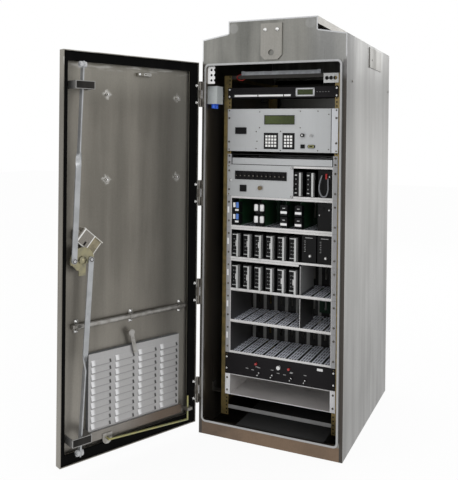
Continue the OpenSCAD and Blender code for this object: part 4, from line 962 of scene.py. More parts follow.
class Piece:
    """Collects the mesh of one piece, part by part, and puts it on a body."""

    def __init__(self, name: str, place: Matrix | None = None) -> None:
        """Starts an empty piece.

        Args:
            name: Name of the piece.
            place: What carries its points; none leaves them where they are.
        """
        self.name, self.place = name, place or Matrix.Identity(4)
        self.mesh = bmesh.new()
        self.finishes: list[str] = []

    def _mark(self, faces: Iterable[bmesh.types.BMFace], finish: str, smooth: bool) -> None:
        """Gives new faces their finish and shading."""
        if finish not in self.finishes:
            self.finishes.append(finish)
        for face in faces:
            face.material_index, face.smooth = self.finishes.index(finish), smooth

    def _skin(self, loops: Sequence[Sequence[bmesh.types.BMVert]], sides: int) -> list[bmesh.types.BMFace]:
        """Closes neighbouring rings of points with faces.

        Args:
            loops: Rings of points; the upper ring of a pair may be one point.
            sides: Number of points in a full ring.

        Returns:
            The faces.
        """
        faces = []
        for lower, upper in zip(loops, loops[1:]):
            for k in range(sides):
                n = (k + 1) % sides
                tip = (upper[0],) if len(upper) == 1 else (upper[n], upper[k])
                faces.append(self.mesh.faces.new((lower[k], lower[n], *tip)))
        return faces

    def block(self, low: Point, high: Point, finish: str, bevel: float = 0.5) -> "Piece":
        """Adds a block with broken edges, in millimetres.

        Args:
            low: Lowest corner.
            high: Highest corner.
            finish: Name of its finish.
            bevel: Width of the broken edges.

        Returns:
            The piece.
        """
        start = len(self.mesh.faces)
        size = [high[k] - low[k] for k in range(3)]
        middle = [(low[k] + high[k]) / 2 for k in range(3)]
        made = bmesh.ops.create_cube(self.mesh, size=1.0,
                                     matrix=Matrix.Translation(middle) @ Matrix.Diagonal((*size, 1.0)))
        edges = list({edge for vert in made["verts"] for edge in vert.link_edges})
        bmesh.ops.bevel(self.mesh, geom=edges, offset=min(bevel, min(size) * 0.3), segments=2, profile=0.5,
                        affect="EDGES")
        self.mesh.faces.ensure_lookup_table()
        self._mark(self.mesh.faces[start:], finish, False)
        return self

    def plate(self, xs: Span, zs: Span, back: float, thick: float, finish: str, bevel: float) -> "Piece":
        """Adds a flat block on a face that looks to the front.

        Args:
            xs: Its left and right ends.
            zs: Its foot and top.
            back: Where the face lies.
            thick: How far it stands out.
            finish: Name of its finish.
            bevel: Width of the broken edges.

        Returns:
            The piece.
        """
        return self.block((xs[0], back - thick, zs[0]), (xs[1], back, zs[1]), finish, bevel)

    def turned(self, foot: Point, way: Way, rings: Sequence[Span], finish: str, sides: int = 20) -> "Piece":
        """Adds a turned form, in millimetres.

        Args:
            foot: Point where its axis meets its seat.
            way: Direction of the axis.
            rings: Radius and height of each ring.
            finish: Name of its finish.
            sides: Number of sides.

        Returns:
            The piece.
        """
        turn = Vector((0, 0, 1)).rotation_difference(Vector(way.value)).to_matrix()
        angles = [2 * math.pi * k / sides for k in range(sides)]
        seat, loops = Vector(foot), []
        for radius, height in rings:
            ring = [Vector((radius * math.cos(a), radius * math.sin(a), height)) for a in angles]
            loops.append([self.mesh.verts.new(seat + turn @ at) for at in (ring if radius > 0 else ring[:1])])
        faces = [self.mesh.faces.new(list(reversed(loops[0])))] if len(loops[0]) > 2 else []
        faces += self._skin(loops, sides)
        if len(loops[-1]) > 2:
            faces.append(self.mesh.faces.new(loops[-1]))
        self._mark(faces, finish, True)
        return self

    def fastener(self, foot: Point, way: Way, head: Head, radius: float, finish: str) -> "Piece":
        """Adds a fastener's head of that form and radius on its seat."""
        sides = HEX_SIDES if head is Head.NUT else ROUND_SIDES
        return self.turned(foot, way, [(r * radius, h * radius) for r, h in head.value], finish, sides)

    def tube(self, path: Sequence[Point], radius: float, finish: str, sides: int = 10) -> "Piece":
        """Adds a round lead along a path, in millimetres.

        Args:
            path: Points of its centre line.
            radius: Radius of the lead.
            finish: Name of its finish.
            sides: Number of sides.

        Returns:
            The piece.
        """
        points = [Vector(p) for p in path]
        side = Vector((0.31, 0.2, 0.93))
        loops = []
        for k, point in enumerate(points):
            ahead = (points[min(k + 1, len(points) - 1)] - points[max(k - 1, 0)]).normalized()
            side = (side - ahead * side.dot(ahead)).normalized()
            over = ahead.cross(side)
            loops.append([self.mesh.verts.new(point + radius * (math.cos(a) * side + math.sin(a) * over))
                          for a in (2 * math.pi * n / sides for n in range(sides))])
        faces = [self.mesh.faces.new(list(reversed(loops[0]))), self.mesh.faces.new(loops[-1])]
        self._mark(faces + self._skin(loops, sides), finish, True)
        return self

    def ride(self, body: str, finishes: Finishes) -> bpy.types.Object:
        """Writes the piece and puts it on its body.

        Args:
            body: CAD body that carries it.
            finishes: The cabinet's finishes.

        Returns:
            The piece's object.
        """
        bmesh.ops.recalc_face_normals(self.mesh, faces=self.mesh.faces[:])
        self.mesh.transform(self.place @ Matrix.Scale(MM, 4))
        data = bpy.data.meshes.new(self.name)
        self.mesh.to_mesh(data)
        self.mesh.free()
        for finish in self.finishes:
            data.materials.append(finishes[finish])
        made = bpy.data.objects.new(self.name, data)
        bpy.context.scene.collection.objects.link(made)
        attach(made, body)
        log.info("%s rides on %s", self.name, body)
        return made


def shift(span: Span, by: float) -> Span:
    """Span moved by a distance."""
    return span[0] + by, span[1] + by


def smooth_path(points: Sequence[Point], steps: int = 8) -> list[Point]:
    """Fills in a smooth line through points.

    Args:
        points: Points of the line.
        steps: Points made for each stretch.

    Returns:
        The finer line.
    """
    ends = [Vector(points[0])] + [Vector(p) for p in points] + [Vector(points[-1])]
    line = []
    for a, b, c, d in zip(ends, ends[1:], ends[2:], ends[3:]):
        for k in range(steps):
            t = k / steps
            line.append(tuple(0.5 * (2 * b + (c - a) * t + (2 * a - 5 * b + 4 * c - d) * t * t
                                     + (3 * b - a - 3 * c + d) * t ** 3)))
    return line + [tuple(points[-1])]


@dataclass
class Assembly:
    """A sub-assembly: the finishes of its CAD nodes, and the small pieces that it adds."""

    finishes: Finishes
    wear: ClassVar[dict[str, tuple[str, ...]]] = {}

    def dress(self) -> None:
        """Gives the CAD nodes their finishes."""
        for finish, nodes in self.wear.items():
            self.finishes.dress(finish, nodes)

    def build(self) -> None:
        """Adds no pieces, unless the sub-assembly has its own."""

    def fit(self, piece: Piece, slot: str, body: str = "cabinet") -> bpy.types.Object:
        """Puts a piece on its body."""
        return piece.ride(body, self.finishes)

    def lead(self, name: str, points: Sequence[Point], radius: float, finish: str, slot: str) -> None:
        """Adds a short lead that leaves the object and goes back into it.

        Args:
            name: Name of the piece.
            points: Points of its route, in millimetres.
            radius: Its radius in millimetres.
            finish: Name of its finish.
            slot: Material slot; not used.
        """
        route = smooth_path(points)
        made = self.fit(Piece(name).tube(route, radius, finish), slot)
        path = [tuple(c * MM for c in point) for point in route]


@dataclass
class Housing(Assembly):
    """Shell, hood, plates and hinges, with their fasteners. Sizes in millimetres."""

    wear: ClassVar[dict[str, tuple[str, ...]]] = {
        "housing_sheet": ("housing_shell",),
        "hood_sheet": ("roof_hood",),
        "plate_sheet": ("lifting_plates",),
        "cover_sheet": ("cover_plate",),
        "hinge_steel": ("frame_hinges",),
    }
    plate_y: float = -396.0
    wall_x: float = 305.0
    bolt_x: float = 25.5
    bolt_z: float = 1651.0
    bolt_r: float = 8.5
    wall_screws: tuple[Span, ...] = ((-307.0, 1447.0), (372.0, 1449.0))
    screw_r: float = 4.5

    def build(self) -> None:
        """Adds the bolts of the lifting plates and the screws of the wall."""
        bolts = Piece("lifting_bolts")
        for side, way in ((1, Way.FRONT), (-1, Way.BACK)):
            for x in (-self.bolt_x, self.bolt_x):
                bolts.fastener((x, side * self.plate_y, self.bolt_z), way, Head.DOME, self.bolt_r, "bright")
        self.fit(bolts, "zinc_steel")
        screws = Piece("wall_screws")
        for y, z in self.wall_screws:
            screws.fastener((self.wall_x, y, z), Way.RIGHT, Head.PAN, self.screw_r, "hinge_steel")
        self.fit(screws, "zinc_steel")


@dataclass
class FrontDoor(Assembly):
    """Front door with its seal, filter, bar, latch and stay. Sizes in the closed door's own frame."""

    wear: ClassVar[dict[str, tuple[str, ...]]] = {
        "door_sheet": ("door_pan",),
        "seal": ("door_gasket",),
        "hinge_steel": ("door_hinges",),
        "louvre_sheet": ("louvre_plate",),
        "trough_sheet": ("filter_trough",),
        "filter_pad": ("air_filter",),
        "guide_sheet": ("rod_guides",),
        "zinc": ("stay_brackets", "filter_bar", "filter_latch", "latch_handle"),
        "lock_nickel": ("lock_case",),
        "yellow_zinc": ("latch_cam",),
        "rod_zinc": ("upper_rod", "lower_rod"),
        "roller_nylon": ("upper_rollers", "lower_rollers"),
        "stay_zinc": ("stay_rod",),
    }
    seal_v: float = -6.0
    skin_v: float = -26.8
    nut_u: float = 14.0
    nut_step: float = 35.0
    nut_r: float = 5.0
    hinge_zs: tuple[float, ...] = (178.8, 585.95, 993.1, 1400.25)
    bar_u: float = 62.0
    bar_l: float = 496.0
    bar_z: float = 535.8
    clamp_shares: tuple[float, ...] = (0.04, 0.5, 0.96)
    clamp_step: float = 17.0
    clamp_t: float = 2.5
    clamp_r: float = 5.5
    cam_u: float = 538.2
    cam_v: float = 25.5
    cam_z: float = 781.8
    hub_rings: tuple[Span, ...] = ((15.0, 0.0), (15.0, 1.2), (11.0, 1.5), (11.0, 6.0), (7.0, 6.6), (6.0, 8.5),
                                   (0.0, 8.8))
    hub_sides: int = 8
    tab_v: float = 14.0
    tab_screw: Span = (284.0, 1463.7)
    tab_r: float = 5.5
    loop_us: tuple[float, ...] = (234, 249, 264)
    loop_zs: Span = (1459.2, 1466.8)
    loop_t: float = 1.5
    post_w: float = 2
    rail_h: float = 1.8
    wire_round: float = 0.4
    stud_l: float = 10.0
    stud_r: float = 4.0

    def build(self) -> None:
        """Adds the nuts, the cam's hub, the loop on the top tab and the tips of the skin's studs."""
        nuts = Piece("hinge_nuts", DOOR)
        for z in self.hinge_zs:
            for step in (-self.nut_step, self.nut_step):
                nuts.fastener((self.nut_u, self.seal_v, z + step), Way.BACK, Head.ACORN, self.nut_r, "bright")
        self.fit(nuts, "zinc_steel", "front_door")
        clamps = Piece("clamp_nuts", DOOR)
        for share in self.clamp_shares:
            u, v = self.bar_u + self.bar_l * share, self.skin_v + self.clamp_t
            for step in (-self.clamp_step, self.clamp_step):
                clamps.fastener((u, v, self.bar_z + step), Way.BACK, Head.NUT, self.clamp_r, "bright")
        self.fit(clamps, "zinc_steel", "front_door")
        hub = Piece("cam_hub", DOOR)
        hub.turned((self.cam_u, self.cam_v, self.cam_z), Way.BACK, self.hub_rings, "yellow_zinc",
                   self.hub_sides)
        self.fit(hub, "yellow_zinc", "latch")
        self.tab_loop()
        studs = Piece("skin_stud_tips", DOOR)
        for u in STUD_US:
            for z in STUD_ZS:
                studs.fastener((u, self.skin_v + self.stud_l, z), Way.BACK, Head.DOME, self.stud_r, "bright")
        self.fit(studs, "zinc_steel", "front_door")

    def tab_loop(self) -> None:
        """Flat wire loop on the door's top tab, with its screw."""
        loop = Piece("tab_loop", DOOR)
        low, high = self.skin_v + self.tab_v, self.skin_v + self.tab_v + self.loop_t
        loop.fastener((self.tab_screw[0], low, self.tab_screw[1]), Way.BACK, Head.DOME, self.tab_r, "bright")
        left, right = self.loop_us[0], self.loop_us[-1] + self.post_w
        foot, top = self.loop_zs[0], self.loop_zs[1] + self.rail_h
        for z in self.loop_zs:
            loop.block((left, low, z), (right, high, z + self.rail_h), "bright", self.wire_round)
        for u in self.loop_us:
            loop.block((u, low, foot), (u + self.post_w, high, top), "bright", self.wire_round)
        self.fit(loop, "zinc_steel", "front_door")


@dataclass
class RearDoor(Assembly):
    """Rear door with its seal and handle."""

    wear: ClassVar[dict[str, tuple[str, ...]]] = {
        "rear_sheet": ("rear_door_pan",),
        "seal": ("rear_gasket",),
        "zinc": ("rear_handle",),
    }


@dataclass
class Racked(Assembly):
    """What is fitted to the rack's posts, with the sizes that all of it shares. Sizes in millimetres."""

    rack_y: float = -272.4
    panel_t: float = 3.0
    file_w: float = 444.0
    file_t: float = 1.6
    file_z: float = 309.8
    file_h: float = 133.35
    file_rows: int = 6
    panel_row: int = 5
    relay_row: int = 4
    upper_row: int = 3
    lower_row: int = 2
    unit_front: float = -264.4
    display_z: float = 1388.6
    controller_z: float = 1166.35
    power_z: float = 220.9
    mark_round: float = 0.2
    fine_round: float = 0.1

    @property
    def face(self) -> float:
        """Front of a rack panel."""
        return self.rack_y - self.panel_t

    def row_z(self, row: int) -> float:
        """Foot of a card row, counted from the lowest."""
        return self.file_z + row * self.file_h

    def deck_z(self, row: int) -> float:
        """Top of a card row's floor."""
        return self.row_z(row) + self.file_t


@dataclass
class CardFiles(Racked):
    """Cage, card files, tray and drawer, with their screws, labels and thin trim."""

    wear: ClassVar[dict[str, tuple[str, ...]]] = {
        "post_zinc": ("rack_cage",),
        "bracket_in_shade": ("cage_brackets",),
        "label_white": ("switch_plate",),
        "service_box": ("service_box",),
        "sleeve_sheet": ("drawer_sleeve",),
        "panel_sheet": ("drawer",),
        "file_sheet": ("upper_files", "output_files", "spare_files"),
        "tray_sheet": ("cable_tray",),
        "bus_board": ("backplanes",),
    }
    ear_t: float = 1.6
    ear_x: float = 232.0
    ear_shares: Span = (0.2, 0.8)
    ear_r: float = 4.4
    hole_x: float = 234.3
    panel_r: float = 4.6
    display_rises: Span = (7.0, 36.65)
    controller_rises: Span = (39.0, 139.0)
    power_rises: Span = (22.0, 70.0)
    label_xs: Span = (-238.5, -230.5)
    label_h: float = 26.0
    label_t: float = 0.5
    label_share: float = 0.55
    flange_x: float = 220.0
    flange_gap: float = 0.6
    shallow: float = 2.5
    deep: float = 9.5
    module_end: float = 82.0
    panel_end: float = 46.0
    tray_z: float = 132.0
    tray_h: float = 88.0
    tray_t: float = 2.0
    tray_d: float = 260.0
    tray_wall: float = 30.0
    tray_gap: float = 1.4
    tray_round: float = 0.3
    lip_h: float = 3.2
    lip_round: float = 0.4
    drawer_z: float = 1109.9
    drawer_h: float = 44.0

    def build(self) -> None:
        """Adds the screws and labels on the ears, the files' flanges and the tray's sides."""
        rows = [(self.row_z(k), self.file_h) for k in range(self.file_rows)]
        tray = (self.tray_z, self.tray_h)
        self.ear_screws(rows + [tray, (self.drawer_z, self.drawer_h)])
        self.row_labels(rows[:self.panel_row] + [tray])
        self.row_flanges()
        self.tray_sides()

    def ear_screws(self, rows: Sequence[Span]) -> None:
        """Screws that hold each panel and file to the posts.

        Args:
            rows: Foot and height of each file, of the tray and of the drawer.
        """
        screws = Piece("rack_screws")
        panels = ((self.display_z, self.display_rises, "bright"),
                  (self.controller_z, self.controller_rises, "hinge_steel"),
                  (self.power_z, self.power_rises, "bright"))
        for foot, rises, finish in panels:
            for x in (-self.hole_x, self.hole_x):
                for rise in rises:
                    screws.fastener((x, self.face, foot + rise), Way.FRONT, Head.PAN, self.panel_r, finish)
        ear = self.rack_y - self.ear_t
        for row, (foot, height) in enumerate(rows):
            for x in (-self.ear_x, self.ear_x):
                seat = self.face if x < 0 and row == self.panel_row else ear
                for z in (foot + share * height for share in self.ear_shares):
                    screws.fastener((x, seat, z), Way.FRONT, Head.PAN, self.ear_r, "hinge_steel")
        self.fit(screws, "zinc_steel")

    def row_labels(self, rows: Sequence[Span]) -> None:
        """Plain labels on the left ears.

        Args:
            rows: Foot and height of each file that has a label.
        """
        labels = Piece("row_labels")
        ear = self.rack_y - self.ear_t
        for foot, height in rows:
            low = foot + self.label_share * height - self.label_h / 2
            labels.plate(self.label_xs, (low, low + self.label_h), ear, self.label_t, "label_white",
                         self.mark_round)
        self.fit(labels, "white_plastic")

    def row_flanges(self) -> None:
        """Turned-down top edge of each card file, just under the shelf above it."""
        flanges = Piece("row_flanges")
        front, back, end = self.rack_y, self.rack_y + self.file_t, self.flange_x
        whole, shallow, deep = (-end, end), self.shallow, self.deep
        edges = ((whole, shallow), (whole, shallow), ((-end, self.module_end), deep), (whole, deep),
                 (whole, deep), ((self.panel_end, end), deep))
        for row, ((left, right), drop) in enumerate(edges, 1):
            z = self.row_z(row)
            flanges.block((left, front, z - drop), (right, back, z - self.flange_gap), "file_sheet")
        self.fit(flanges, "panel_aluminium")

    def tray_sides(self) -> None:
        """Upper part of the cable tray's side walls, and the lip over its mouth."""
        trim = Piece("tray_sides")
        y, low, top = self.rack_y, self.tray_z + self.tray_wall, self.power_z - self.tray_gap
        outer = self.file_w / 2
        inner = outer - self.tray_t
        for x0, x1 in ((-outer, -inner), (inner, outer)):
            trim.block((x0, y, low), (x1, y + self.tray_d, top), "tray_sheet", self.tray_round)
        trim.block((-inner, y, top - self.lip_h), (inner, y + self.file_t, top), "file_sheet", self.lip_round)
        self.fit(trim, "panel_aluminium")


@dataclass
class DisplayPanel(Racked):
    """Display panel with its window's frame, label strips and lamp row."""

    wear: ClassVar[dict[str, tuple[str, ...]]] = {
        "black_paint": ("display_panel",),
        "window": ("lcd_windows",),
    }
    bars: tuple[tuple[Span, Span], ...] = (((64, 142), (5, 11)), ((64, 142), (33, 39)), ((63, 70), (7, 37)),
                                           ((136, 143), (7, 37)))
    bar_t: float = 2.5
    bar_round: float = 0.8
    strip_xs: tuple[Span, ...] = ((-211, -106), (-102, 8), (12, 41))
    strip_z: Span = (6, 14)
    lamp_x: Span = (152, 155)
    lamp_z: Span = (21, 24)
    lamp_pitch: float = 12
    lamps: int = 5
    mark_t: float = 0.8

    def build(self) -> None:
        """Adds the frame, the strips and the lamps."""
        trim = Piece("display_trim")
        y, foot = self.face, self.display_z
        for xs, zs in self.bars:
            trim.plate(xs, shift(zs, foot), y, self.bar_t, "frame_grey", self.bar_round)
        for xs in self.strip_xs:
            trim.plate(xs, shift(self.strip_z, foot), y, self.mark_t, "label_white", self.mark_round)
        for k in range(self.lamps):
            trim.plate(shift(self.lamp_x, self.lamp_pitch * k), shift(self.lamp_z, foot), y, self.mark_t,
                       "label_grey", self.mark_round)
        self.fit(trim, "white_plastic")


@dataclass
class Controller(Racked):
    """Controller with its key beds, screws, socket rims and the groove beside its right ear."""

    wear: ClassVar[dict[str, tuple[str, ...]]] = {
        "panel_sheet": ("controller_panel", "controller_case"),
        "key_white": ("controller_keys",),
        "black_moulding": ("panel_sockets",),
        "bright": ("controller_toggle",),
    }
    bed_xs: tuple[Span, ...] = ((-75, -12), (7.6, 60))
    bed_z: Span = (11, 78)
    bed_t: float = 1.5
    bed_round: float = 0.6
    groove_x: Span = (212.0, 214.5)
    groove_z: Span = (1, 176)
    groove_t: float = 0.4
    socket_out: float = 6
    contact_x: Span = (-202, -157)
    contact_z: Span = (75, 80)
    contact_t: float = 1.2
    contact_pitch: float = 8
    contact_rows: int = 3
    rim_round: float = 0.3
    screws: tuple[Span, ...] = (
        (-95, 1331), (83.5, 1333), (158, 1333), (-95, 1265), (83.5, 1266), (-110, 1249), (-106, 1208.6),
        (-110, 1178), (-1.5, 1251), (-1.5, 1172), (158, 1174), (203, 1320), (203, 1180))
    screw_r: float = 2.6
    cap_place: Span = (95.0, 69)
    cap_out: float = 11
    cap_r: float = 4.6
    port_rise: float = 24
    rim_x: Span = (120.5, 143.5)
    rim_z: Span = (-5, 5)
    rim_t: float = 0.8
    port_x: Span = (125, 139)
    port_z: Span = (-2.6, 2.6)
    port_out: float = 6.6

    def build(self) -> None:
        """Adds the beds, the screws and the socket rims."""
        y, foot = self.face, self.controller_z
        seat = y - self.socket_out
        beds = Piece("key_beds")
        for xs in self.bed_xs:
            beds.plate(xs, shift(self.bed_z, foot), y, self.bed_t, "black_moulding", self.bed_round)
        beds.plate(self.groove_x, shift(self.groove_z, foot), y, self.groove_t, "black_moulding",
                   self.fine_round)
        for row in range(self.contact_rows):
            beds.plate(self.contact_x, shift(self.contact_z, foot + self.contact_pitch * row), seat,
                       self.contact_t, "module_face", self.rim_round)
        self.fit(beds, "black_plastic")
        screws = Piece("controller_screws")
        for x, z in self.screws:
            screws.fastener((x, y, z), Way.FRONT, Head.PAN, self.screw_r, "hinge_steel")
        self.fit(screws, "zinc_steel")
        jacks = Piece("socket_rims")
        cap_x, rise = self.cap_place
        jacks.fastener((cap_x, y - self.cap_out, foot + rise), Way.FRONT, Head.DOME, self.cap_r, "bright")
        middle = foot + self.port_rise
        jacks.plate(self.rim_x, shift(self.rim_z, middle), seat, self.rim_t, "stay_zinc", self.rim_round)
        jacks.plate(self.port_x, shift(self.port_z, middle), y - self.port_out, self.rim_t, "black_moulding",
                    self.mark_round)
        self.fit(jacks, "zinc_steel")


@dataclass
class BreakerPanel(Racked):
    """Breaker panel with its captive screws, the breakers' throws and the slots of its socket."""

    wear: ClassVar[dict[str, tuple[str, ...]]] = {
        "panel_sheet": ("breaker_panel",),
        "black_moulding": ("breakers",),
    }
    screws: tuple[Span, ...] = ((50, 7), (50, 125), (-226, 66))
    screw_r: float = 4.5
    breakers: int = 12
    breaker_x: float = -204
    breaker_pitch: float = 19.3
    breaker_out: float = 11
    throw_half: float = 3
    throw_z: Span = (1062, 1066)
    slot_xs: tuple[Span, ...] = ((-174, -171), (-163, -160))
    slot_z: Span = (1004, 1016)
    socket_out: float = 6
    mark_t: float = 0.6

    def build(self) -> None:
        """Adds the screws, the throws and the slots."""
        marks = Piece("breaker_trim")
        y, foot = self.face, self.row_z(self.panel_row)
        for x, rise in self.screws:
            marks.fastener((x, y, foot + rise), Way.FRONT, Head.ACORN, self.screw_r, "bright")
        for k in range(self.breakers):
            x = self.breaker_x + self.breaker_pitch * (k + 0.5)
            marks.plate((x - self.throw_half, x + self.throw_half), self.throw_z, y - self.breaker_out,
                        self.mark_t, "hinge_steel", self.mark_round)
        for xs in self.slot_xs:
            marks.plate(xs, self.slot_z, y - self.socket_out, self.mark_t, "module_face", self.mark_round)
        self.fit(marks, "zinc_steel")


@dataclass
class SwitchModules(Racked):
    """Plug-in switch modules and flashers, with clips, lamps and labels on their faces."""

    wear: ClassVar[dict[str, tuple[str, ...]]] = {
        "module_face": ("switch_modules",),
        "handle_sheet": ("switch_handles",),
    }
    guide_gap: float = 14.4
    slots: int = 8
    modules: int = 6
    module_off: float = 18.2
    upper_labelled: tuple[int, ...] = (0, 1, 2, 3)
    lower_labelled: tuple[int, ...] = (0, 1, 4, 5)
    upper_label_z: float = 52
    lower_label_z: float = 44
    label_x: Span = (-2, 6.5)
    label_h: float = 24
    label_t: float = 9
    label_round: float = 1.2
    clip_x: Span = (-19, 4)
    clip_zs: tuple[Span, ...] = ((98, 102), (18, 21))
    clip_t: float = 1.6
    clip_round: float = 0.4
    lamp_x: float = -12
    lamp_rise: float = 2
    lamp_rings: tuple[Span, ...] = ((2.2, 0), (2.2, 1.2), (1.4, 2.0), (0, 2.3))
    lamp_sides: int = 10
    caption_x: Span = (-6, 1)
    caption_z: Span = (34, 37)
    caption_t: float = 0.6
    caption_pitch: float = 15
    captions: int = 4
    flasher_xs: Span = (75.04, 127.43)
    flasher_clip_x: Span = (-16, -6)
    flasher_clip_zs: tuple[Span, ...] = ((92, 97), (20, 24))
    flasher_clip_t: float = 1.8
    flasher_lamp: Span = (-11, 38)
    flasher_rings: tuple[Span, ...] = ((3, 0), (3, 1.5), (2, 2.4), (0, 2.6))
    flasher_sides: int = 12
    flasher_pitch: float = 20
    flasher_lamps: int = 3

    def slot_x(self, slot: int) -> float:
        """Middle of a card slot, counted from the left."""
        first = self.file_t + self.guide_gap
        return first - self.file_w / 2 + (slot + 0.5) * (self.file_w - 2 * first) / self.slots

    def build(self) -> None:
        """Adds the trim of every module and flasher."""
        faces = Piece("module_trim")
        rows = ((self.upper_row, self.upper_labelled, self.upper_label_z),
                (self.lower_row, self.lower_labelled, self.lower_label_z))
        for row, labelled, label_z in rows:
            for k in range(self.modules):
                x, foot = self.slot_x(k) - self.module_off, self.deck_z(row)
                self.module(faces, x, foot)
                if k in labelled:
                    low = foot + label_z
                    faces.plate(shift(self.label_x, x), (low, low + self.label_h), self.unit_front,
                                self.label_t, "label_white", self.label_round)
        for x in self.flasher_xs:
            self.flasher(faces, x, self.deck_z(self.panel_row))
        self.fit(faces, "panel_aluminium")

    def module(self, faces: Piece, x: float, foot: float) -> None:
        """Clips, lamps and captions of one module.

        Args:
            faces: Piece that takes them.
            x: Middle of the module's face.
            foot: Height of its foot.
        """
        y = self.unit_front
        for zs in self.clip_zs:
            faces.plate(shift(self.clip_x, x), shift(zs, foot), y, self.clip_t, "handle_sheet",
                        self.clip_round)
        for k in range(self.captions):
            low, high = shift(self.caption_z, foot + self.caption_pitch * k)
            faces.turned((x + self.lamp_x, y, low + self.lamp_rise), Way.FRONT, self.lamp_rings, "label_grey",
                         self.lamp_sides)
            faces.plate(shift(self.caption_x, x), (low, high), y, self.caption_t, "label_grey",
                        self.fine_round)

    def flasher(self, faces: Piece, x: float, foot: float) -> None:
        """Clips and lamps of one flasher.

        Args:
            faces: Piece that takes them.
            x: Middle of the flasher's face.
            foot: Height of its foot.
        """
        y = self.unit_front
        for zs in self.flasher_clip_zs:
            faces.plate(shift(self.flasher_clip_x, x), shift(zs, foot), y, self.flasher_clip_t,
                        "handle_sheet", self.clip_round)
        lamp_x, lamp_z = self.flasher_lamp
        for k in range(self.flasher_lamps):
            faces.turned((x + lamp_x, y, foot + lamp_z + self.flasher_pitch * k), Way.FRONT,
                         self.flasher_rings, "label_grey", self.flasher_sides)


@dataclass
class RelayCards(Racked):
    """Relay cards with their terminals, caps and labels."""

    wear: ClassVar[dict[str, tuple[str, ...]]] = {
        "board": ("relay_cards",),
        "black_moulding": ("relay_blocks",),
    }
    tier_zs: Span = (15, 64)
    card_x: float = -202.9
    terminals: tuple[tuple[Span, Span, str], ...] = (
        ((-13, -3), (18, 38), "label_white"), ((1, 12), (16, 40), "blue_moulding"),
        ((-4, 12), (3, 11), "label_white"))
    terminal_t: float = 3
    terminal_round: float = 0.8
    block_xs: Span = (11.99, 75.04)
    label_x: Span = (-14, 14)
    label_z: Span = (3, 13)
    label_t: float = 0.8
    label_round: float = 0.3
    bar_x: Span = (-5, 6)
    bar_z: Span = (24, 27)
    bar_t: float = 1.5
    bar_round: float = 0.5
    cap_xs: Span = (-111.0, -85.0)
    cap_rise: float = 8
    cap_in: float = 1
    cap_rings: tuple[Span, ...] = ((7.5, 0), (9, 1.5), (9, 24), (7.5, 27), (3, 28), (0, 28))
    cap_sides: int = 24

    def build(self) -> None:
        """Adds the trim of both tiers."""
        trim = Piece("relay_trim")
        y = self.unit_front
        for foot in shift(self.tier_zs, self.deck_z(self.relay_row)):
            for xs, zs, finish in self.terminals:
                trim.plate(shift(xs, self.card_x), shift(zs, foot), y, self.terminal_t, finish,
                           self.terminal_round)
            for x in self.block_xs:
                trim.plate(shift(self.label_x, x), shift(self.label_z, foot), y, self.label_t, "label_white",
                           self.label_round)
                trim.plate(shift(self.bar_x, x), shift(self.bar_z, foot), y, self.bar_t, "handle_sheet",
                           self.bar_round)
            for x in self.cap_xs:
                trim.turned((x, y + self.cap_in, foot + self.cap_rise), Way.UP, self.cap_rings, "label_white",
                            self.cap_sides)
        self.fit(trim, "white_plastic")


@dataclass
class MonitorUnits(Racked):
    """Monitor units with their thumb screws and marks, and the looped lead of the top one."""

    wear: ClassVar[dict[str, tuple[str, ...]]] = {
        "module_face": ("monitor_units",),
    }
    unit_xs: Span = (92.5, 158.5)
    strip_x: Span = (14, 46)
    strip_z: Span = (107, 110)
    strip_t: float = 1
    mark_x: Span = (10, 16)
    mark_z: Span = (52, 54)
    mark_t: float = 0.6
    mark_pitch: float = 7
    mark_step: float = 2
    marks: int = 7
    knob_x: float = 36
    knob_zs: Span = (36, 32)
    knob_rings: tuple[Span, ...] = ((7, 0), (7, 3), (5, 4), (5, 9), (3.5, 10), (0, 10))
    plug_x: Span = (162, 184)
    plug_z: Span = (88, 104)
    plug_t: float = 4
    plug_round: float = 1
    thumb_screws: tuple[Point, ...] = ((206, 92, 4.0), (166, 70, 3.5))
    lead_r: float = 3.0
    tab_x: Span = (190, 197)
    tab_z: Span = (1060, 1082)
    tab_t: float = 7
    tab_round: float = 1.5

    def build(self) -> None:
        """Adds the trim of the units, the lead and its tab."""
        trim = Piece("monitor_trim")
        y, foot = self.unit_front, self.deck_z(self.upper_row)
        for x, knob_z in zip(self.unit_xs, self.knob_zs):
            trim.plate(shift(self.strip_x, x), shift(self.strip_z, foot), y, self.strip_t, "label_grey",
                       self.mark_round)
            for k in range(self.marks):
                left, right = shift(self.mark_x, x)
                trim.plate((left + self.mark_step * (k % 2), right),
                           shift(self.mark_z, foot + self.mark_pitch * k), y, self.mark_t, "label_grey",
                           self.fine_round)
            trim.turned((x + self.knob_x, y, foot + knob_z), Way.FRONT, self.knob_rings, "bright")
        for deck in (self.deck_z(self.relay_row), self.deck_z(self.panel_row)):
            trim.plate(self.plug_x, shift(self.plug_z, deck), y, self.plug_t, "module_face", self.plug_round)
            for x, rise, radius in self.thumb_screws:
                trim.fastener((x, y, deck + rise), Way.FRONT, Head.ACORN, radius, "bright")
        self.fit(trim, "black_metal")
        route = ((176, y - 4, 1074), (177, y - 15, 1070), (172, y - 22, 1046), (170, y - 22, 1018),
                 (180, y - 20, 994), (196, y - 18, 994), (204, y - 15, 1016), (203, y - 12, 1044),
                 (200, y - 2, 1062))
        self.lead("monitor_lead", route, self.lead_r, "grey_cable", "grey_plastic")
        tab = Piece("lead_tab").plate(self.tab_x, self.tab_z, y, self.tab_t, "red_lead", self.tab_round)
        self.fit(tab, "red_lens")


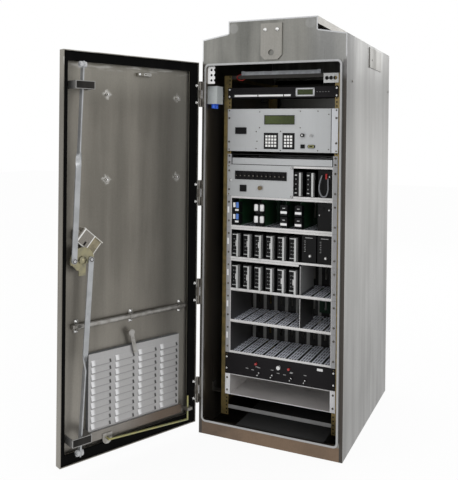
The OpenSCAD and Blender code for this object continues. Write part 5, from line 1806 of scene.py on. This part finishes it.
@dataclass
class PowerPanel(Racked):
    """Power panel with its label and plain marks."""

    wear: ClassVar[dict[str, tuple[str, ...]]] = {
        "black_paint": ("power_panel",),
        "fuse_caps": ("fuse_holders",),
        "bright": ("toggle_1", "toggle_2", "toggle_3", "toggle_4"),
        "red_lens": ("panel_lamps",),
    }
    label_x: Span = (166, 190)
    label_z: Span = (70, 80)
    label_t: float = 0.6
    captions: tuple[Span, ...] = ((-140, 34), (-114, 31), (-86, 44), (-27, 43), (0, 34), (28, 32), (56, 43),
                                  (116, 43), (-95, 46), (58, 46))
    caption_x: Span = (-6, 6)
    caption_z: Span = (-1.5, 1.5)
    caption_t: float = 0.5

    def build(self) -> None:
        """Adds the label and the marks."""
        marks = Piece("power_trim")
        y, foot = self.face, self.power_z
        marks.plate(self.label_x, shift(self.label_z, foot), y, self.label_t, "label_white", self.mark_round)
        for x, rise in self.captions:
            marks.plate(shift(self.caption_x, x), shift(self.caption_z, foot + rise), y, self.caption_t,
                        "label_grey", self.fine_round)
        self.fit(marks, "white_plastic")


@dataclass
class Lamp(Assembly):
    """Lamp over the rack, with its bracket and its lead. Sizes in millimetres."""

    wear: ClassVar[dict[str, tuple[str, ...]]] = {
        "lamp_grey": ("lamp_fixture",),
        "handle_sheet": ("lamp_bracket",),
    }
    lead_r: float = 1.4
    route: tuple[Point, ...] = (
        (-168, -262, 1493), (-180, -268, 1492), (-196, -274, 1484), (-200, -276, 1474), (-190, -276, 1466),
        (-176, -274, 1464), (-166, -270, 1470))

    def build(self) -> None:
        """Adds the lead."""
        self.lead("lamp_lead", self.route, self.lead_r, "red_lead", "red_lens")


@dataclass
class Studio:
    """Pale floor, soft light and the camera at the photograph's place."""

    eye: Point = (0.95118, -2.79863, 1.23566)
    yaw: float = 0.414
    pitch: float = 0.006
    roll: float = 0.011
    focal: float = 655.72
    centre: Span = (245.70, 138.58)
    size: tuple[int, int] = (458, 480)
    sensor: float = 36.0
    reach: float = 60.0
    floor_half: float = 14.0
    floor_drop: float = 0.0015
    under_x: Span = (0.298, 0.3)
    under_y: Span = (0.384, 0.386)
    lamps: tuple[tuple[str, Point, Point, float, float], ...] = (
        ("key", (2.6, -3.6, 3.4), (0.0, -0.3, 0.8), 2.4, 45.0),
        ("fill", (-2.8, -3.2, 2.4), (-0.2, -0.4, 0.8), 2.6, 20.0),
        ("back", (0.6, 3.4, 3.0), (0.0, 0.2, 0.9), 2.6, 30.0))

    def camera(self) -> None:
        """Creates the camera and makes it the scene's."""
        ahead = Vector((-math.sin(self.yaw) * math.cos(self.pitch), math.cos(self.yaw) * math.cos(self.pitch),
                        -math.sin(self.pitch)))
        right = Vector((math.cos(self.yaw), math.sin(self.yaw), 0.0))
        up = right.cross(ahead)
        across = right * math.cos(self.roll) + up * math.sin(self.roll)
        over = up * math.cos(self.roll) - right * math.sin(self.roll)
        lens, longest = bpy.data.cameras.new("camera"), max(self.size)
        lens.sensor_width, lens.lens = self.sensor, self.focal * self.sensor / longest
        lens.shift_x = (self.size[0] / 2 - self.centre[0]) / longest
        lens.shift_y = (self.centre[1] - self.size[1] / 2) / longest
        lens.clip_end = self.reach
        made = bpy.data.objects.new("camera", lens)
        turn = Matrix((across, over, -ahead)).transposed().to_4x4()
        made.matrix_world = Matrix.Translation(self.eye) @ turn
        bpy.context.scene.collection.objects.link(made)
        bpy.context.scene.camera = made

    def lamp(self, name: str, place: Point, aim: Point, width: float, power: float) -> None:
        """Adds a soft square lamp.

        Args:
            name: Name of the lamp.
            place: Where it hangs.
            aim: Point that it looks at.
            width: Length of its side.
            power: Its power in watts.
        """
        data = bpy.data.lights.new(name, "AREA")
        data.size, data.energy = width, power
        made = bpy.data.objects.new(name, data)
        made.location = place
        made.rotation_euler = (Vector(aim) - Vector(place)).to_track_quat("-Z", "Y").to_euler()
        bpy.context.scene.collection.objects.link(made)

    def sky(self) -> None:
        """Even soft light, with white where the camera or a reflection looks."""
        graph = Graph("studio", world=True)
        level = graph.seen() * 0.15 + 0.85
        light = graph.get("ShaderNodeBackground", None, {"Color": (1.0, 1.0, 1.0), "Strength": level})
        graph.node("ShaderNodeOutputWorld", None, {"Surface": light})
        bpy.context.scene.world = graph.owner

    def paper(self) -> bpy.types.Material:
        """Paper that is white to the camera, keeps the shadow and has painted shade under the cabinet."""
        graph = Graph("floor_paper")
        place = graph.where()
        fine = graph.noise(place, 90.0, 2.0)
        x, y, _ = graph.parts(place)
        open_floor = abs(x).ramp(*self.under_x) | abs(y).ramp(*self.under_y)
        # Painted shade: the paper under the cabinet is made dark.
        tone = graph.dim((0.9, 0.9, 0.9), (0.99 + fine * 0.02) * (0.08 + open_floor * 0.92))
        matt = graph.get("ShaderNodeBsdfDiffuse", None, {"Color": tone})
        white = graph.get("ShaderNodeEmission", None, {"Color": (1.0, 1.0, 1.0), "Strength": 1.0})
        shown = graph.seen() * open_floor * 0.93
        mixed = graph.get("ShaderNodeMixShader", None, {0: shown, 1: matt, 2: white})
        graph.node("ShaderNodeOutputMaterial", None, {"Surface": mixed})
        return graph.owner

    def floor(self) -> None:
        """Lays the pale floor."""
        mesh = bmesh.new()
        bmesh.ops.create_grid(mesh, x_segments=4, y_segments=4, size=self.floor_half)
        data = bpy.data.meshes.new("floor")
        mesh.to_mesh(data)
        mesh.free()
        made = bpy.data.objects.new("floor", data)
        made.location = (0.0, 0.0, -self.floor_drop)
        bpy.context.scene.collection.objects.link(made)
        data.materials.append(self.paper())

    def build(self) -> None:
        """Sets up the whole studio."""
        self.camera()
        self.sky()
        self.floor()
        for lamp in self.lamps:
            self.lamp(*lamp)
        bpy.context.scene.view_settings.view_transform = "Standard"


def main() -> None:
    """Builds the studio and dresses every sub-assembly."""
    logging.basicConfig(level=logging.INFO, format="%(name)s: %(message)s")
    Studio().build()
    finishes = Finishes()
    kinds = (Housing, FrontDoor, RearDoor, CardFiles, DisplayPanel, Controller, BreakerPanel, SwitchModules,
             RelayCards, MonitorUnits, PowerPanel, Lamp)
    for part in (kind(finishes) for kind in kinds):
        part.dress()
        part.build()


if __name__ == "__main__":
    main()
